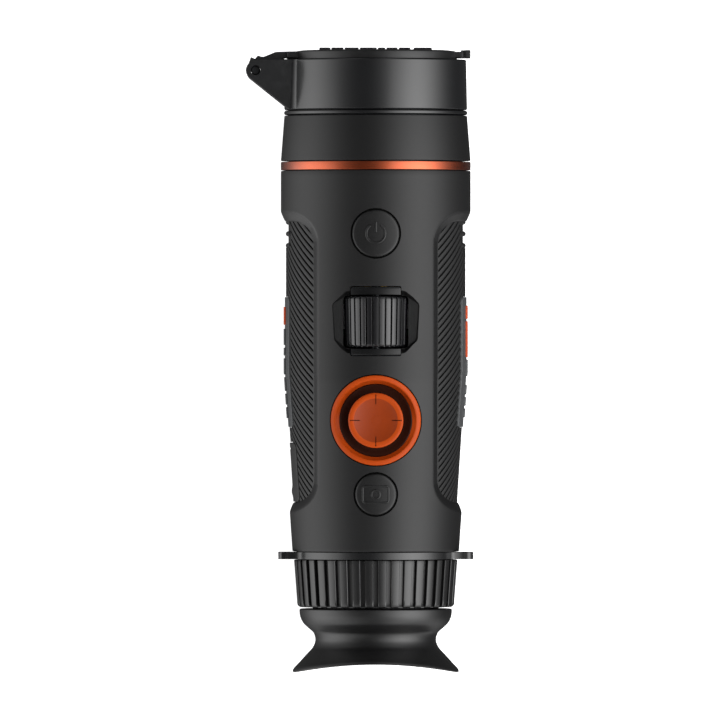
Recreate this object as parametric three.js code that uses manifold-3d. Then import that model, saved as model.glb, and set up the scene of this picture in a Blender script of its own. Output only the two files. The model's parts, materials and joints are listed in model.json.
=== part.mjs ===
// Handheld thermal imaging monocular, in millimetres.
// Modelling frame: +Y is the optical axis, from the eyecup's tips (station 0) to the objective,
// +Z is the button side and X is across. Radii are taken from the optical axis.
// The exported frame has its origin at the middle of the tripod plate's underside.
import * as THREE from "three";
import { mergeVertices } from "three/addons/utils/BufferGeometryUtils.js";
import Module from "manifold-3d";

const wasm = await Module();
wasm.setup();

// ---------------------------------------------------------------- driving dimensions
const AXIS_HEIGHT = 31.0;
const DATUM_STATION = 102.0;
const OUTER_SEGMENTS = 36;
const INNER_SEGMENTS = 24;
const SMALL_SEGMENTS = 12;
const ARC_STEPS = 4;
const FAR = 60.0;
const SLIP = 0.1;
const SEAT_GAP = 0.15;

const HOUSING = {
  rear: 38.2, front: 158.5, rearRadius: 26.35, taperEnd: 92.0, radius: 30.0,
  bore: 23.0, frontBore: 26.1, boreStep: 146.0, edge: 0.4,
};
const GRIP = {
  inner: 18.1, rear: 50.1, front: 146.0, cornerRadius: 9.0, thickness: 1.2,
  rearRadius: 25.8, taperStart: 55.0, taperEnd: 95.0, radius: 28.35,
};
const RIB_POCKET = {
  rear: 133.3, front: 143.9, halfWidth: 9.0, floor: 27.6,
  ribStations: [134.9, 138.6, 142.3], ribRadius: 0.8, ribHalfWidth: 7.6,
};
const SIDE_PLATE = {
  rear: 77.5, front: 118.6, halfWidth: 10.4, corner: 2.0, proud: 0.4, depth: 0.65, floorGap: 0.1,
};
const BADGE = {
  proud: 0.4, halfWidth: 4.2,
  left: [109.8, 115.5], rightFront: [111.7, 115.9], rightRear: [99.6, 111.0],
  leftMarks: [[80.3, 83.8], [84.6, 88.1], [88.9, 93.3], [94.1, 99.3], [100.1, 102.6], [103.4, 108.6]],
  rightMarks: [[80.6, 83.4], [84.2, 87.0], [87.8, 90.8], [93.6, 98.8]],
};
const USB = {
  rear: 53.9, front: 72.6, halfWidth: 9.6, corner: 2.4, proud: 0.3, gap: 0.25,
  holeRear: 57.8, holeFront: 68.4, holeHalfHeight: 3.0,
  bossRear: 59.6, bossFront: 67.4, bossHalfHeight: 1.7, bossDepth: 23.3,
  portRear: 58.6, portFront: 67.4, portInner: 15.6, portOuter: 22.6, portHalfHeight: 1.6,
  socketHalfWidth: 4.1, socketHalfHeight: 1.2,
  boardRear: 54.0, boardFront: 72.0, boardInner: 10.5, boardOuter: 22.0, boardTop: -1.8,
};
const BOARD_THICKNESS = 1.2;

const JOYSTICK = {
  station: 79.7, bezelRadius: 14.2, bezelGap: 0.2, bezelMouth: 12.9, lip: 11.5, lipTop: 27.0,
  bezelFloor: 25.4, footInner: 13.3, shelf: 24.4, shelfHole: 10.2,
  bootInner: 4.6, bootOuter: 13.1, bootTop: 25.1,
  bootBeadInner: 8.9, bootBeadOuter: 10.9, bootBeadTop: 25.7,
  capRadius: 8.65, capBottom: 28.0, capTop: 30.4, dishRadius: 6.6, dishDepth: 0.7, capEdge: 0.5,
  hubRadius: 3.1, hubBottom: 26.6, boreRadius: 1.75, boreTop: 29.2,
  stemRadius: 1.6, stemTop: 28.3, stemBottom: 18.9, pivot: 20.5,
  ringInner: 2.7, ringOuter: 4.7, ringHalf: 0.7,
  baseHalf: 6.5, baseInner: 5.2, baseFloor: 17.6, baseTop: 21.6,
};
const MAIN_BOARD = { halfWidth: 14.0, bottom: 14.3, top: 15.8, rear: 53.0, front: 99.0 };

const POWER_BUTTON = {
  station: 138.5, hole: 7.97, cap: 7.57, shelf: 26.2, bottom: 27.0, well: 4.6,
  switchHalf: 3.0, switchBottom: 23.05, switchTop: 25.6, plunger: 1.5, plungerTop: 26.35,
};
const PHOTO_BUTTON = {
  station: 56.4, hole: 7.05, cap: 6.65, shelf: 24.0, bottom: 24.8, well: 4.6,
  switchHalf: 3.0, switchBottom: 15.9, switchTop: 20.4, plunger: 1.5, plungerTop: 24.1,
};

const WHEEL = {
  centreHeight: 23.5, radius: 10.0, rearRadius: 9.65, groove: 9.0, rear: 102.8, front: 118.8,
  teeth: 30, toothRoot: 0.76, toothTip: 0.68, toothTrim: 0.2, chamfer: 0.7,
  slotHalf: 10.3, slotRear: 102.4, slotFront: 119.05, slotFloor: 12.0,
  axleRadius: 1.5, axleHole: 1.6, axleRear: 98.4, axleFront: 128.1, axleBoreRear: 98.0, axleBoreFront: 128.3,
  wellRadius: 5.3, wellRear: 122.4, wellFront: 127.6,
};
const SADDLE = {
  halfWidth: 7.85, gap: 0.15, bottom: 20.6, crownRadius: 26.0, crownCentre: 4.7,
  frontRear: 119.2, frontFront: 121.7, rearRear: 100.1, rearFront: 102.25,
};
const POCKET = {
  floor: 26.4, noseHalf: 9.0, noseFront: 120.2, noseRear: 101.1,
  wideHalf: 14.5, wideStation: 116.6, narrowHalf: 13.6, narrowStation: 104.7,
};
const GEARS = {
  module: 0.6528, pinionTeeth: 12, ringTeeth: 60, rear: 123.0, front: 127.0,
  addendum: 0.75, dedendum: 1.1, rootWidth: 0.56, tipWidth: 0.26, ringBore: 17.2, ringPhase: 0.5,
  hubRear: 119.4, hubOuter: 20.1,
};

const BARREL = {
  guideRear: 128.4, guideFront: 146.2, guideOuter: 22.7, guideInner: 17.0,
  front: 192.4, outer: 25.9, cavity: 22.5, ledgeRear: 176.0, ledgeFront: 179.6, ledgeInner: 21.4,
  seat: 23.5, backWall: 149.5,
};
const FRONT_LENS = { radius: 23.3, rimRear: 179.8, rimFront: 183.4, rear: 181.2, apex: 186.6 };
const FRONT_ORING = { inner: 22.2, outer: 23.35, rear: 183.8, front: 184.8 };
const FRONT_RETAINER = { inner: 21.5, outer: 23.35, rear: 184.9, front: 187.0 };
const CARRIAGE = {
  outer: 16.85, inner: 14.6, rear: 127.2, front: 148.0, ledgeInner: 12.8, ledge: [134.0, 135.6],
};
const REAR_LENS = { radius: 14.4, rimRear: 135.8, rimFront: 139.0, rear: 134.8, apex: 140.4 };

const ACCENT = { rear: 158.7, front: 161.3, radius: 30.0, bore: 26.05 };
const SLEEVE = { rear: 161.6, front: 175.9, rearRadius: 30.0, frontRadius: 28.9, bore: 26.05 };
const BEAD = { rear: 176.1, front: 177.5, radius: 28.95, rim: 28.4, bore: 26.05 };
const CAP_RING = { rear: 177.7, front: 192.9, rearRadius: 28.9, frontRadius: 28.6, bore: 26.05 };
const HINGE = {
  x: -37.9, station: 190.1, pinRadius: 1.45, pinHole: 1.55, pinHalf: 12.9, earRadius: 3.1,
  bracketHalf: 13.3, channelHalf: 6.4, webFace: -32.8, toe: [-27.7, 178.0], shoulder: [-39.9, 187.8],
  horn: [-39.4, 193.6], notch: [-38.4, 193.1], root: -24.5, knuckleRadius: 3.0, knuckleHalf: 6.0,
};
const LID = {
  rear: 193.4, rimFront: 196.2, radius: 25.7, domeRadius: 23.5, domeEdge: 196.55, apex: 196.8,
  ribFront: 197.4, ribHalf: 9.0,
  ribs: [
    [-17.8, -14.3], [-14.0, -10.2], [-9.8, -5.4], [-5.0, 0.3],
    [0.7, 3.0], [3.4, 6.9], [7.3, 10.9], [12.0, 17.7],
  ],
  tabRoot: 25.0, tabTip: 29.9, tabHalf: 5.0, tabRear: 193.8, tabFront: 196.6, tabNeck: 26.9, neckRear: 194.6,
};
const LID_ARM = [
  [-37.4, 194.7], [-36.0, 194.4], [-31.9, 195.9], [-24.0, 196.2], [-24.0, 193.6], [-27.6, 193.7],
  [-28.5, 194.2], [-30.4, 193.3], [-33.6, 193.3], [-34.9, 190.1], [-37.9, 190.1], [-39.4, 191.2],
];
const GASKET = { inner: 21.6, outer: 23.1, rear: 190.6, front: 193.3 };

const EYEPIECE = {
  rear: 11.4, neckRadius: 16.8, neckFront: 20.3, runRadius: 20.0, flangeRear: 38.3, flangeRadius: 22.8,
  front: 46.0, lensSeat: 14.6, ledgeRear: 18.4, ledgeFront: 20.2, ledgeInner: 13.2, cellBore: 15.6,
};
const STRAP_RING = {
  rear: 35.8, front: 38.0, bore: 20.15, radius: 25.5, lugTip: 30.8, lugHalf: 8.5, lugRoot: 22.0,
  slotInner: 26.7, slotOuter: 29.1, slotHalf: 5.6, lugCorner: 3.0,
};
const DIOPTER = {
  rear: 20.6, front: 35.6, bore: 20.25, rearRadius: 24.8, frontRadius: 25.9, chamfer: 0.8, groove: 0.9,
  teeth: 38, grooveShare: 0.3,
};
const EYE_LENS = { radius: 14.4, rimRear: 14.4, rimFront: 18.2, rear: 13.2, apex: 19.2 };
const EYE_RETAINER = { inner: 13.0, outer: 14.5, rear: 11.7, front: 13.0 };
const LENS_CELL = {
  outer: 15.4, inner: 14.0, rear: 24.0, front: 41.0, ledge: [35.0, 36.6], ledgeInner: 12.4,
};
const FIELD_LENS = { radius: 13.85, rimRear: 30.2, rimFront: 34.8, rear: 28.8, apex: 36.0 };
const EYECUP = {
  outline: [
    [26.4, 0.0], [24.8, 2.5], [21.3, 6.3], [19.1, 10.1],
    [19.85, 12.7], [22.6, 15.2], [24.1, 20.1],
  ],
  inside: [[16.95, 20.1], [16.95, 11.0], [17.6, 9.3], [23.3, 2.4], [25.2, 0.0]],
  saddle: 2.3, saddleSteps: 6,
};

const BATTERY = { radius: 9.0, height: -12.0, rear: 52.4, front: 102.0, tipRadius: 3.0, tipRear: 51.6 };
const CRADLE = { inner: 9.25, outer: 10.5, rear: 54.0, front: 101.0 };
const DISPLAY = {
  halfX: 10.0, halfZ: 8.5, rear: 47.0, front: 50.0, windowX: 7.0, windowZ: 5.5, recess: 0.6,
};
const SENSOR = { half: 11.0, rear: 108.5, front: 116.4, windowRadius: 5.5, recess: 0.8 };
const SENSOR_BOARD = { radius: 21.0, top: 12.0, rear: 106.6, front: 108.2 };
const SHUTTER = {
  rear: 116.7, front: 117.9, half: 12.3, window: 5.8, bladeRear: 118.3, bladeFront: 118.8,
  pivotX: -14.0, pivotHeight: -13.0, tailRadius: 2.2, bladeRadius: 6.3, swing: 40 * (Math.PI / 180),
};
const TRIPOD = {
  halfWidth: 10.0, halfLength: 22.0, bottom: -31.0, top: -27.5, pocketTop: -27.35, corner: 3.0,
  bushOffset: 8.0, bushOuter: 4.9, bushInner: 3.2, bushTop: -23.6, bushRoof: -24.6, bushRecess: 0.1,
  screwOffset: 17.5, headRadius: 2.4, headTop: -29.4, shankRadius: 1.25, shankTop: -24.6,
};

// ---------------------------------------------------------------- materials
const finish = (color, roughness, metalness) =>
  new THREE.MeshStandardMaterial({ color, roughness, metalness });
const MATERIALS = {
  softTouch: finish(0x3b3b3d, 0.55, 0.0),
  grip: finish(0x2e2e2f, 0.8, 0.0),
  plate: finish(0x606266, 0.45, 0.1),
  orange: finish(0xe8602c, 0.4, 0.1),
  anodised: finish(0xf0692f, 0.3, 0.9),
  sleeve: finish(0x414143, 0.5, 0.0),
  gloss: finish(0x26272a, 0.2, 0.0),
  matte: finish(0x29292b, 0.7, 0.0),
  button: finish(0x39393b, 0.6, 0.0),
  wheel: finish(0x3a3b3d, 0.35, 0.3),
  rubber: finish(0x1d1d1e, 0.9, 0.0),
  boot: finish(0x3a1a10, 0.7, 0.0),
  metal: finish(0x9a9da1, 0.35, 1.0),
  darkMetal: finish(0x35373b, 0.4, 0.9),
  steel: finish(0xb9bcc0, 0.3, 1.0),
  brass: finish(0xc6a04c, 0.35, 1.0),
  glass: finish(0x9fb3b8, 0.05, 0.0),
  germanium: finish(0x4a4c55, 0.1, 0.9),
  board: finish(0x1c5a34, 0.5, 0.0),
  cell: finish(0x2f6fb0, 0.45, 0.0),
  frame: finish(0x4b4d50, 0.6, 0.0),
};

// ---------------------------------------------------------------- solid helpers
function solid(geometry) {
  const bare = geometry.clone();
  bare.deleteAttribute("normal");
  bare.deleteAttribute("uv");
  const merged = mergeVertices(bare, 1e-4);
  const index = Array.from(merged.index.array);
  const kept = [];
  for (let i = 0; i < index.length; i += 3) {
    const [a, b, c] = index.slice(i, i + 3);
    if (a !== b && b !== c && c !== a) kept.push(a, b, c);
  }
  return new wasm.Manifold(new wasm.Mesh({
    numProp: 3,
    vertProperties: Float32Array.from(merged.attributes.position.array),
    triVerts: Uint32Array.from(kept),
  }));
}

function meshOf(name, body, material) {
  const data = body.getMesh();
  const geometry = new THREE.BufferGeometry();
  geometry.setAttribute("position", new THREE.BufferAttribute(data.vertProperties, 3));
  geometry.setIndex(new THREE.BufferAttribute(data.triVerts, 1));
  geometry.computeVertexNormals();
  const mesh = new THREE.Mesh(geometry, material);
  mesh.name = name;
  return mesh;
}

const vectors = (points) => points.map(([u, v]) => new THREE.Vector2(u, v));

function signedArea(points) {
  let sum = 0;
  points.forEach(([x, y], i) => {
    const [nextX, nextY] = points[(i + 1) % points.length];
    sum += x * nextY - nextX * y;
  });
  return sum / 2;
}

// A solid of revolution about Y. The profile is a closed list of [radius, station].
function revolve(profile, segments = OUTER_SEGMENTS) {
  const ordered = signedArea(profile) > 0 ? profile : [...profile].reverse();
  return solid(new THREE.LatheGeometry(vectors([...ordered, ordered[0]]), segments));
}

// The same about Z, through [x, station]. The profile is a closed list of [radius, height].
function revolveUp(profile, x, station, segments = INNER_SEGMENTS) {
  const ordered = signedArea(profile) > 0 ? profile : [...profile].reverse();
  const geometry = new THREE.LatheGeometry(vectors([...ordered, ordered[0]]), segments);
  geometry.rotateX(Math.PI / 2);
  geometry.translate(x, station, 0);
  return solid(geometry);
}

function ring(outer, inner, rear, front, segments = OUTER_SEGMENTS) {
  return revolve([[inner, rear], [outer, rear], [outer, front], [inner, front]], segments);
}

function disc(radius, rear, front, segments = OUTER_SEGMENTS) {
  return revolve([[0, rear], [radius, rear], [radius, front], [0, front]], segments);
}

// A round bar along the optical axis, at a height above it.
function barAlong(radius, rear, front, height, segments = SMALL_SEGMENTS) {
  return disc(radius, rear, front, segments).translate([0, 0, height]);
}

function discUp(radius, x, station, bottom, top, segments = INNER_SEGMENTS) {
  return revolveUp([[0, bottom], [radius, bottom], [radius, top], [0, top]], x, station, segments);
}

function extruded(points, depth) {
  return new THREE.ExtrudeGeometry(new THREE.Shape(vectors(points)), { depth, bevelEnabled: false });
}

// Prisms of an outline in (x, station), (x, height) or (station, height).
function prismUp(points, bottom, top) {
  return solid(extruded(points, top - bottom).translate(0, 0, bottom));
}

function prismAlong(points, rear, front) {
  return solid(extruded(points, front - rear).rotateX(Math.PI / 2).translate(0, front, 0));
}

function prismAcross(points, left, right) {
  const turn = new THREE.Matrix4().makeBasis(
    new THREE.Vector3(0, 1, 0),
    new THREE.Vector3(0, 0, 1),
    new THREE.Vector3(1, 0, 0),
  );
  return solid(extruded(points, right - left).applyMatrix4(turn).translate(left, 0, 0));
}

function block(x, station, height) {
  const geometry = new THREE.BoxGeometry(x[1] - x[0], station[1] - station[0], height[1] - height[0]);
  geometry.translate((x[0] + x[1]) / 2, (station[0] + station[1]) / 2, (height[0] + height[1]) / 2);
  return solid(geometry);
}

function roundedOutline(low, high, radius) {
  const centres = [
    [high[0] - radius, high[1] - radius], [low[0] + radius, high[1] - radius],
    [low[0] + radius, low[1] + radius], [high[0] - radius, low[1] + radius],
  ];
  const points = [];
  centres.forEach(([cx, cy], quarter) => {
    for (let step = 0; step <= ARC_STEPS; step += 1) {
      const angle = (quarter + step / ARC_STEPS) * (Math.PI / 2);
      points.push([cx + radius * Math.cos(angle), cy + radius * Math.sin(angle)]);
    }
  });
  return points;
}

// Points of a toothed circle: each tooth gives its two root corners and two tip corners.
function toothedOutline(teeth, rootRadius, tipRadius, rootShare, tipShare, phase) {
  const points = [];
  for (let tooth = 0; tooth < teeth; tooth += 1) {
    [[-rootShare, rootRadius], [-tipShare, tipRadius], [tipShare, tipRadius], [rootShare, rootRadius]]
      .forEach(([share, radius]) => {
        const angle = ((tooth + phase + share / 2) * 2 * Math.PI) / teeth;
        points.push([radius * Math.sin(angle), radius * Math.cos(angle)]);
      });
  }
  return points;
}

const mirrored = (points) => points.map(([x, y]) => [-x, y]);

// ---------------------------------------------------------------- shared outlines
const housingRadiusAt = (station) => HOUSING.rearRadius
  + (HOUSING.radius - HOUSING.rearRadius)
  * Math.min(1, (station - HOUSING.rear) / (HOUSING.taperEnd - HOUSING.rear));

function housingOutline(offset) {
  return [
    [0, HOUSING.rear - FAR],
    [HOUSING.rearRadius + offset, HOUSING.rear - FAR],
    [HOUSING.rearRadius + offset, HOUSING.rear],
    [HOUSING.radius + offset, HOUSING.taperEnd],
    [HOUSING.radius + offset, HOUSING.front + FAR],
    [0, HOUSING.front + FAR],
  ];
}

// The grip's outer surface, moved out by an offset, as a solid core.
function gripCore(offset) {
  return revolve([
    [0, GRIP.rear - FAR],
    [GRIP.rearRadius + offset, GRIP.rear - FAR],
    [GRIP.rearRadius + offset, GRIP.taperStart],
    [GRIP.radius + offset, GRIP.taperEnd],
    [GRIP.radius + offset, GRIP.front + FAR],
    [0, GRIP.front + FAR],
  ]);
}

// The grip's area seen from above on the +X side, with the two corners towards the middle rounded.
function gripArea(inset) {
  const radius = GRIP.cornerRadius - inset;
  const inner = GRIP.inner + inset;
  const rear = GRIP.rear + inset;
  const front = GRIP.front - inset;
  const points = [[FAR, rear], [FAR, front]];
  for (let step = 0; step <= ARC_STEPS; step += 1) {
    const angle = Math.PI / 2 + (step / ARC_STEPS) * (Math.PI / 2);
    points.push([inner + radius + radius * Math.cos(angle), front - radius + radius * Math.sin(angle)]);
  }
  for (let step = 0; step <= ARC_STEPS; step += 1) {
    const angle = Math.PI + (step / ARC_STEPS) * (Math.PI / 2);
    points.push([inner + radius + radius * Math.cos(angle), rear + radius + radius * Math.sin(angle)]);
  }
  return points;
}

const sideSpan = (side) => (side > 0 ? [0, FAR] : [-FAR, 0]);

function sidePrism(side, low, high, radius) {
  const [left, right] = sideSpan(side);
  return prismAcross(roundedOutline(low, high, radius), left, right);
}

// ---------------------------------------------------------------- main housing
function housingShell() {
  return revolve([
    [HOUSING.bore, HOUSING.rear],
    [HOUSING.rearRadius - HOUSING.edge, HOUSING.rear],
    [HOUSING.rearRadius, HOUSING.rear + HOUSING.edge],
    [HOUSING.radius, HOUSING.taperEnd],
    [HOUSING.radius, HOUSING.front],
    [HOUSING.frontBore, HOUSING.front],
    [HOUSING.frontBore, HOUSING.boreStep],
    [HOUSING.bore, HOUSING.boreStep],
  ]);
}

function buttonHole(button) {
  return discUp(button.hole, 0, button.station, button.shelf, FAR)
    .add(discUp(button.well, 0, button.station, button.switchTop - 8, button.shelf + 1));
}

function wheelPocket() {
  const outline = [
    [-POCKET.noseHalf, POCKET.noseFront], [POCKET.noseHalf, POCKET.noseFront],
    [POCKET.wideHalf, POCKET.wideStation], [POCKET.narrowHalf, POCKET.narrowStation],
    [POCKET.noseHalf, POCKET.noseRear], [-POCKET.noseHalf, POCKET.noseRear],
    [-POCKET.narrowHalf, POCKET.narrowStation], [-POCKET.wideHalf, POCKET.wideStation],
  ];
  const slot = block(
    [-WHEEL.slotHalf, WHEEL.slotHalf], [WHEEL.slotRear, WHEEL.slotFront], [WHEEL.slotFloor, FAR],
  );
  const saddles = block(
    [-SADDLE.halfWidth - SADDLE.gap, SADDLE.halfWidth + SADDLE.gap],
    [SADDLE.rearRear - SADDLE.gap, SADDLE.frontFront + SADDLE.gap],
    [SADDLE.bottom - SADDLE.gap, FAR],
  );
  return prismUp(outline, POCKET.floor, FAR).add(slot).add(saddles);
}

function driveCuts() {
  const axle = barAlong(WHEEL.axleHole, WHEEL.axleBoreRear, WHEEL.axleBoreFront, WHEEL.centreHeight);
  const well = barAlong(
    WHEEL.wellRadius, WHEEL.wellRear, WHEEL.wellFront, WHEEL.centreHeight, INNER_SEGMENTS,
  );
  return axle.add(well);
}

function joystickCut() {
  return discUp(JOYSTICK.bezelRadius + JOYSTICK.bezelGap, 0, JOYSTICK.station, JOYSTICK.shelf, FAR)
    .add(discUp(JOYSTICK.shelfHole, 0, JOYSTICK.station, JOYSTICK.baseTop, JOYSTICK.shelf + 1));
}

function tripodCuts() {
  const { halfWidth, halfLength } = TRIPOD;
  const pocket = block(
    [-halfWidth - SEAT_GAP, halfWidth + SEAT_GAP],
    [DATUM_STATION - halfLength - SEAT_GAP, DATUM_STATION + halfLength + SEAT_GAP],
    [-FAR, TRIPOD.pocketTop],
  );
  const bush = discUp(
    TRIPOD.bushOuter + SLIP, 0, DATUM_STATION + TRIPOD.bushOffset, -FAR, TRIPOD.bushTop + SEAT_GAP,
  );
  const screws = [-1, 1].map((side) => discUp(
    TRIPOD.shankRadius + SLIP, 0, DATUM_STATION + side * TRIPOD.screwOffset,
    -FAR, TRIPOD.shankTop + SEAT_GAP, SMALL_SEGMENTS,
  ));
  return pocket.add(bush).add(screws[0]).add(screws[1]);
}

function gripPocket(side) {
  const area = side > 0 ? gripArea(0) : mirrored(gripArea(0));
  return prismUp(area, -FAR, FAR).subtract(gripCore(-GRIP.thickness));
}

function usbHole() {
  return block([-FAR, 0], [USB.holeRear, USB.holeFront], [-USB.holeHalfHeight, USB.holeHalfHeight]);
}

function mainHousing() {
  return housingShell()
    .subtract(gripPocket(1))
    .subtract(gripPocket(-1))
    .subtract(wheelPocket())
    .subtract(driveCuts())
    .subtract(joystickCut())
    .subtract(buttonHole(POWER_BUTTON))
    .subtract(buttonHole(PHOTO_BUTTON))
    .subtract(tripodCuts())
    .subtract(usbHole());
}

// ---------------------------------------------------------------- grips and side plates
function ribPocket(side) {
  const [left, right] = sideSpan(side);
  const span = [-RIB_POCKET.halfWidth, RIB_POCKET.halfWidth];
  return block([left, right], [RIB_POCKET.rear, RIB_POCKET.front], span)
    .subtract(disc(RIB_POCKET.floor, RIB_POCKET.rear - 1, RIB_POCKET.front + 1));
}

function ribBars(side) {
  const [left, right] = sideSpan(side);
  const span = [-RIB_POCKET.ribHalfWidth, RIB_POCKET.ribHalfWidth];
  const radius = RIB_POCKET.ribRadius;
  return RIB_POCKET.ribStations
    .map((station) => revolve([
      [RIB_POCKET.floor - 0.2, station - radius],
      [RIB_POCKET.floor + radius * 0.6, station - radius * 0.8],
      [RIB_POCKET.floor + radius, station],
      [RIB_POCKET.floor + radius * 0.6, station + radius * 0.8],
      [RIB_POCKET.floor - 0.2, station + radius],
    ]))
    .reduce((all, bar) => all.add(bar))
    .intersect(block([left, right], [RIB_POCKET.rear, RIB_POCKET.front], span));
}

function sidePlateArea(side, margin) {
  return sidePrism(
    side,
    [SIDE_PLATE.rear - margin, -SIDE_PLATE.halfWidth - margin],
    [SIDE_PLATE.front + margin, SIDE_PLATE.halfWidth + margin],
    SIDE_PLATE.corner,
  );
}

function usbArea(margin) {
  return sidePrism(
    -1,
    [USB.rear - margin, -USB.halfWidth - margin],
    [USB.front + margin, USB.halfWidth + margin],
    USB.corner,
  );
}

function grip(side) {
  const area = side > 0 ? gripArea(SEAT_GAP) : mirrored(gripArea(SEAT_GAP));
  const plateSeat = sidePlateArea(side, SLIP).subtract(gripCore(-SIDE_PLATE.depth - SIDE_PLATE.floorGap));
  const pad = prismUp(area, -FAR, FAR)
    .intersect(gripCore(0))
    .subtract(gripCore(-GRIP.thickness + SLIP))
    .subtract(plateSeat)
    .subtract(ribPocket(side))
    .add(ribBars(side));
  return side > 0 ? pad : pad.subtract(usbArea(USB.gap));
}

// Raised bars on a plate, each from one station to another.
function plateMarks(side, marks) {
  return marks
    .map(([rear, front]) => {
      const [left, right] = sideSpan(side);
      return block([left, right], [rear, front], [-BADGE.halfWidth, BADGE.halfWidth]);
    })
    .reduce((all, bar) => all.add(bar))
    .intersect(gripCore(SIDE_PLATE.proud + BADGE.proud))
    .subtract(gripCore(SIDE_PLATE.proud - 0.2));
}

function sidePlate(side, marks) {
  return sidePlateArea(side, 0)
    .intersect(gripCore(SIDE_PLATE.proud))
    .subtract(gripCore(-SIDE_PLATE.depth))
    .add(plateMarks(side, marks));
}

function badgeBar(side, [rear, front]) {
  const [left, right] = sideSpan(side);
  return block([left, right], [rear, front], [-BADGE.halfWidth, BADGE.halfWidth])
    .intersect(gripCore(SIDE_PLATE.proud + BADGE.proud))
    .subtract(gripCore(SIDE_PLATE.proud + 0.03));
}

// ---------------------------------------------------------------- USB cover and socket
function usbCover() {
  const skin = usbArea(0)
    .intersect(gripCore(USB.proud))
    .subtract(gripCore(-GRIP.thickness + SEAT_GAP));
  const boss = block(
    [-USB.rear / 2, 0], [USB.bossRear, USB.bossFront], [-USB.bossHalfHeight, USB.bossHalfHeight],
  )
    .intersect(gripCore(0))
    .subtract(disc(USB.bossDepth, USB.rear, USB.front));
  return skin.add(boss);
}

function usbPort() {
  const shell = block(
    [-USB.portOuter, -USB.portInner], [USB.portRear, USB.portFront],
    [-USB.portHalfHeight, USB.portHalfHeight],
  );
  const middle = (USB.portRear + USB.portFront) / 2;
  const socket = block(
    [-USB.portOuter - 1, -USB.portInner - 1],
    [middle - USB.socketHalfWidth, middle + USB.socketHalfWidth],
    [-USB.socketHalfHeight, USB.socketHalfHeight],
  );
  return shell.subtract(socket);
}

function usbBoard() {
  return block(
    [-USB.boardOuter, -USB.boardInner], [USB.boardRear, USB.boardFront],
    [USB.boardTop - BOARD_THICKNESS, USB.boardTop],
  );
}

// ---------------------------------------------------------------- buttons and joystick
function buttonCap(button) {
  return discUp(button.cap, 0, button.station, button.bottom, FAR)
    .intersect(revolve(housingOutline(0)));
}

function pushSwitch(button) {
  const { switchHalf, station } = button;
  return block(
    [-switchHalf, switchHalf], [station - switchHalf, station + switchHalf],
    [button.switchBottom, button.switchTop],
  ).add(discUp(button.plunger, 0, station, button.switchTop - 0.5, button.plungerTop, SMALL_SEGMENTS));
}

function joystickBezel() {
  return revolveUp([
    [JOYSTICK.footInner, JOYSTICK.shelf + SLIP],
    [JOYSTICK.bezelRadius, JOYSTICK.shelf + SLIP],
    [JOYSTICK.bezelRadius, FAR],
    [JOYSTICK.bezelMouth, HOUSING.radius + 1],
    [JOYSTICK.lip, JOYSTICK.lipTop],
    [JOYSTICK.lip, JOYSTICK.bezelFloor],
    [JOYSTICK.footInner, JOYSTICK.bezelFloor],
  ], 0, JOYSTICK.station, OUTER_SEGMENTS)
    .intersect(revolve(housingOutline(0)));
}

function joystickBoot() {
  return revolveUp([
    [JOYSTICK.bootInner, JOYSTICK.shelf + SLIP],
    [JOYSTICK.bootOuter, JOYSTICK.shelf + SLIP],
    [JOYSTICK.bootOuter, JOYSTICK.bootTop],
    [JOYSTICK.bootBeadOuter, JOYSTICK.bootTop],
    [(JOYSTICK.bootBeadOuter + JOYSTICK.bootBeadInner) / 2, JOYSTICK.bootBeadTop],
    [JOYSTICK.bootBeadInner, JOYSTICK.bootTop],
    [JOYSTICK.bootInner, JOYSTICK.bootTop],
  ], 0, JOYSTICK.station);
}

function joystickCap() {
  return revolveUp([
    [0, JOYSTICK.boreTop],
    [JOYSTICK.boreRadius, JOYSTICK.boreTop],
    [JOYSTICK.boreRadius, JOYSTICK.hubBottom],
    [JOYSTICK.hubRadius, JOYSTICK.hubBottom],
    [JOYSTICK.hubRadius, JOYSTICK.capBottom],
    [JOYSTICK.capRadius - JOYSTICK.capEdge, JOYSTICK.capBottom],
    [JOYSTICK.capRadius, JOYSTICK.capBottom + JOYSTICK.capEdge],
    [JOYSTICK.capRadius, JOYSTICK.capTop - JOYSTICK.capEdge],
    [JOYSTICK.capRadius - JOYSTICK.capEdge, JOYSTICK.capTop],
    [JOYSTICK.dishRadius, JOYSTICK.capTop - 0.1],
    [JOYSTICK.dishRadius - 2, JOYSTICK.capTop - JOYSTICK.dishDepth * 0.8],
    [0, JOYSTICK.capTop - JOYSTICK.dishDepth],
  ], 0, JOYSTICK.station);
}

function joystickStem() {
  return discUp(
    JOYSTICK.stemRadius, 0, JOYSTICK.station, JOYSTICK.stemBottom, JOYSTICK.stemTop, SMALL_SEGMENTS,
  );
}

function joystickGimbal() {
  const low = JOYSTICK.pivot - JOYSTICK.ringHalf;
  const high = JOYSTICK.pivot + JOYSTICK.ringHalf;
  return revolveUp([
    [JOYSTICK.ringInner, low], [JOYSTICK.ringOuter, low],
    [JOYSTICK.ringOuter, high], [JOYSTICK.ringInner, high],
  ], 0, JOYSTICK.station, SMALL_SEGMENTS);
}

function joystickBase() {
  const { baseHalf, station, baseInner } = JOYSTICK;
  return block(
    [-baseHalf, baseHalf], [station - baseHalf, station + baseHalf],
    [MAIN_BOARD.top + SLIP, JOYSTICK.baseTop - 0.1],
  ).subtract(discUp(baseInner, 0, station, JOYSTICK.baseFloor, FAR));
}

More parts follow.
